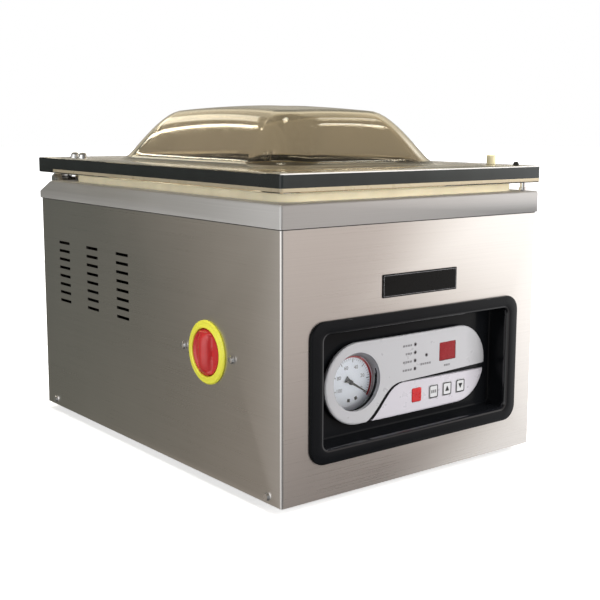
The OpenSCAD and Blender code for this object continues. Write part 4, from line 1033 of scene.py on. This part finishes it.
def room():
    """The room that the steel and the acrylic mirror: dim at the left, bright at the right, high lamps behind."""
    def paint(t):
        geo = t.add("ShaderNodeNewGeometry")
        sep = t.add("ShaderNodeSeparateXYZ")
        t.link(geo.outputs["Position"], sep.inputs[0])
        x, y, z = sep.outputs
        angle = t.math("ARCTAN2", x, t.math("MULTIPLY", y, -1.0))
        turn = t.math("ADD", t.math("DIVIDE", angle, 2 * math.pi), 0.5)
        high, low, back = (t.ramp(turn, [(deg(a), c) for a, c in stops])
                           for stops in (HIGH_WALL, LOW_WALL, BACK_MASK))
        blend = t.math("DIVIDE", t.math("ADD", z, 0.60), 0.62, clamp=True)
        tall = t.math("DIVIDE", z, ROOM_HIGH, clamp=True)
        upper = t.ramp(tall, [(0.42, 0.0), (0.52, 1.0)])
        body = t.mix(upper, t.mix(blend, low, high), (0.125, 0.11, 0.09))
        return t.mix(back, body, t.ramp(tall, BACK_WALL))

    v, f = wall(ROOM_R, -180, 180, ROOM_LOW, ROOM_HIGH, 120)
    card("room_walls", v, f, 2.0, paint=paint)
    for name, z, level in (("room_ceiling", ROOM_HIGH, (0.17, 0.155, 0.13)),
                           ("room_floor", ROOM_LOW, (0.10, 0.095, 0.09))):
        ring = [(x, y, z) for x, y in circle_pts(0, 0, ROOM_R, 48)]
        card(name, ring, [tuple(range(48))], 1.0, level)
    # upright lamps on the wall: start and end angle, low and high end, strength
    lamps = ((82, 84.5, 1.9, 2.39, 10), (94, 99, 1.9, 2.39, 4), (174, 183, 1.0, 1.6, 2.6),
             (187.5, 189.2, 1.0, 1.6, 10))
    for k, (a0, a1, z0, z1, power) in enumerate(lamps):
        v, f = wall(ROOM_R - 0.05, a0, a1, z0, z1, 12)
        card("room_lamp_%d" % k, v, f, power, LAMP_COLOR)
    corners = [(x, y, ROOM_HIGH - 0.05) for x, y in ((0.08, 0.38), (0.36, 0.38), (0.36, 0.62), (0.08, 0.62))]
    card("room_lamp_top", corners, [(0, 1, 2, 3)], 9, LAMP_COLOR)


def studio():
    w = bpy.data.worlds.new("studio")
    bpy.context.scene.world = w
    w.use_nodes = True
    t = Tree(w.node_tree)
    out = t.add("ShaderNodeOutputWorld")
    bg = t.add("ShaderNodeBackground")
    bg.inputs["Color"].default_value = (1, 1, 1, 1)
    bg.inputs["Strength"].default_value = 1.0
    t.link(bg.outputs[0], out.inputs[0])

    me = bpy.data.meshes.new("floor")
    s = 12.0
    me.from_pydata([(-s, -s, 0), (s, -s, 0), (s, s, 0), (-s, s, 0)], [], [(0, 1, 2, 3)])
    floor = new_object("floor", me)
    me.materials.append(material("floor_white", (0.93, 0.93, 0.93), 0.9, spot=0.01, spot_scale=3,
                                 Emission_Strength=0.55, Emission_Color=(1, 1, 1, 1)))
    floor.visible_glossy = floor.visible_diffuse = False

    def area(name, pos, target, size, power, color=(1, 1, 1)):
        d = bpy.data.lights.new(name, "AREA")
        d.shape, d.size, d.size_y, d.energy, d.color = "RECTANGLE", size[0], size[1], power, color
        o = new_object(name, d)
        o.location = pos
        o.rotation_euler = (Vector(target) - Vector(pos)).to_track_quat("-Z", "Y").to_euler()
        o.visible_glossy = o.visible_transmission = False

    area("key", (1.3, -2.0, 1.6), (0, 0, 0.15), (1.4, 1.4), 60, (1, 0.985, 0.96))
    area("front", (0.7, -2.2, 0.45), (0, 0, 0.2), (1.6, 0.6), 34, (1, 0.985, 0.96))
    area("top", (0.1, 0.0, 2.3), (0, 0, 0.2), (1.6, 1.6), 45)
    area("fill", (-2.0, -0.7, 0.45), (0, 0, 0.2), (1.4, 0.5), 5)
    room()


def camera():
    yaw, pitch, roll = math.radians(39.19), math.radians(-8.70), math.radians(0.37)
    f = Vector((math.sin(yaw) * math.cos(pitch), math.cos(yaw) * math.cos(pitch), math.sin(pitch)))
    right = Vector((math.cos(yaw), -math.sin(yaw), 0))
    up = right.cross(f)
    r2 = right * math.cos(roll) + up * math.sin(roll)
    u2 = up * math.cos(roll) - right * math.sin(roll)
    d = bpy.data.cameras.new("camera")
    o = new_object("camera", d)
    eye = (-0.7038, -0.9630, 0.3474)
    o.matrix_world = Matrix.Translation(eye) @ Matrix((r2, u2, -f)).transposed().to_4x4()
    d.sensor_width, d.lens = 36.0, 64.05
    d.shift_x, d.shift_y = -0.0478, -0.0246
    d.clip_start, d.clip_end = 0.05, 60
    bpy.context.scene.camera = o
    bpy.context.scene.view_settings.view_transform = "Standard"


studio()
camera()
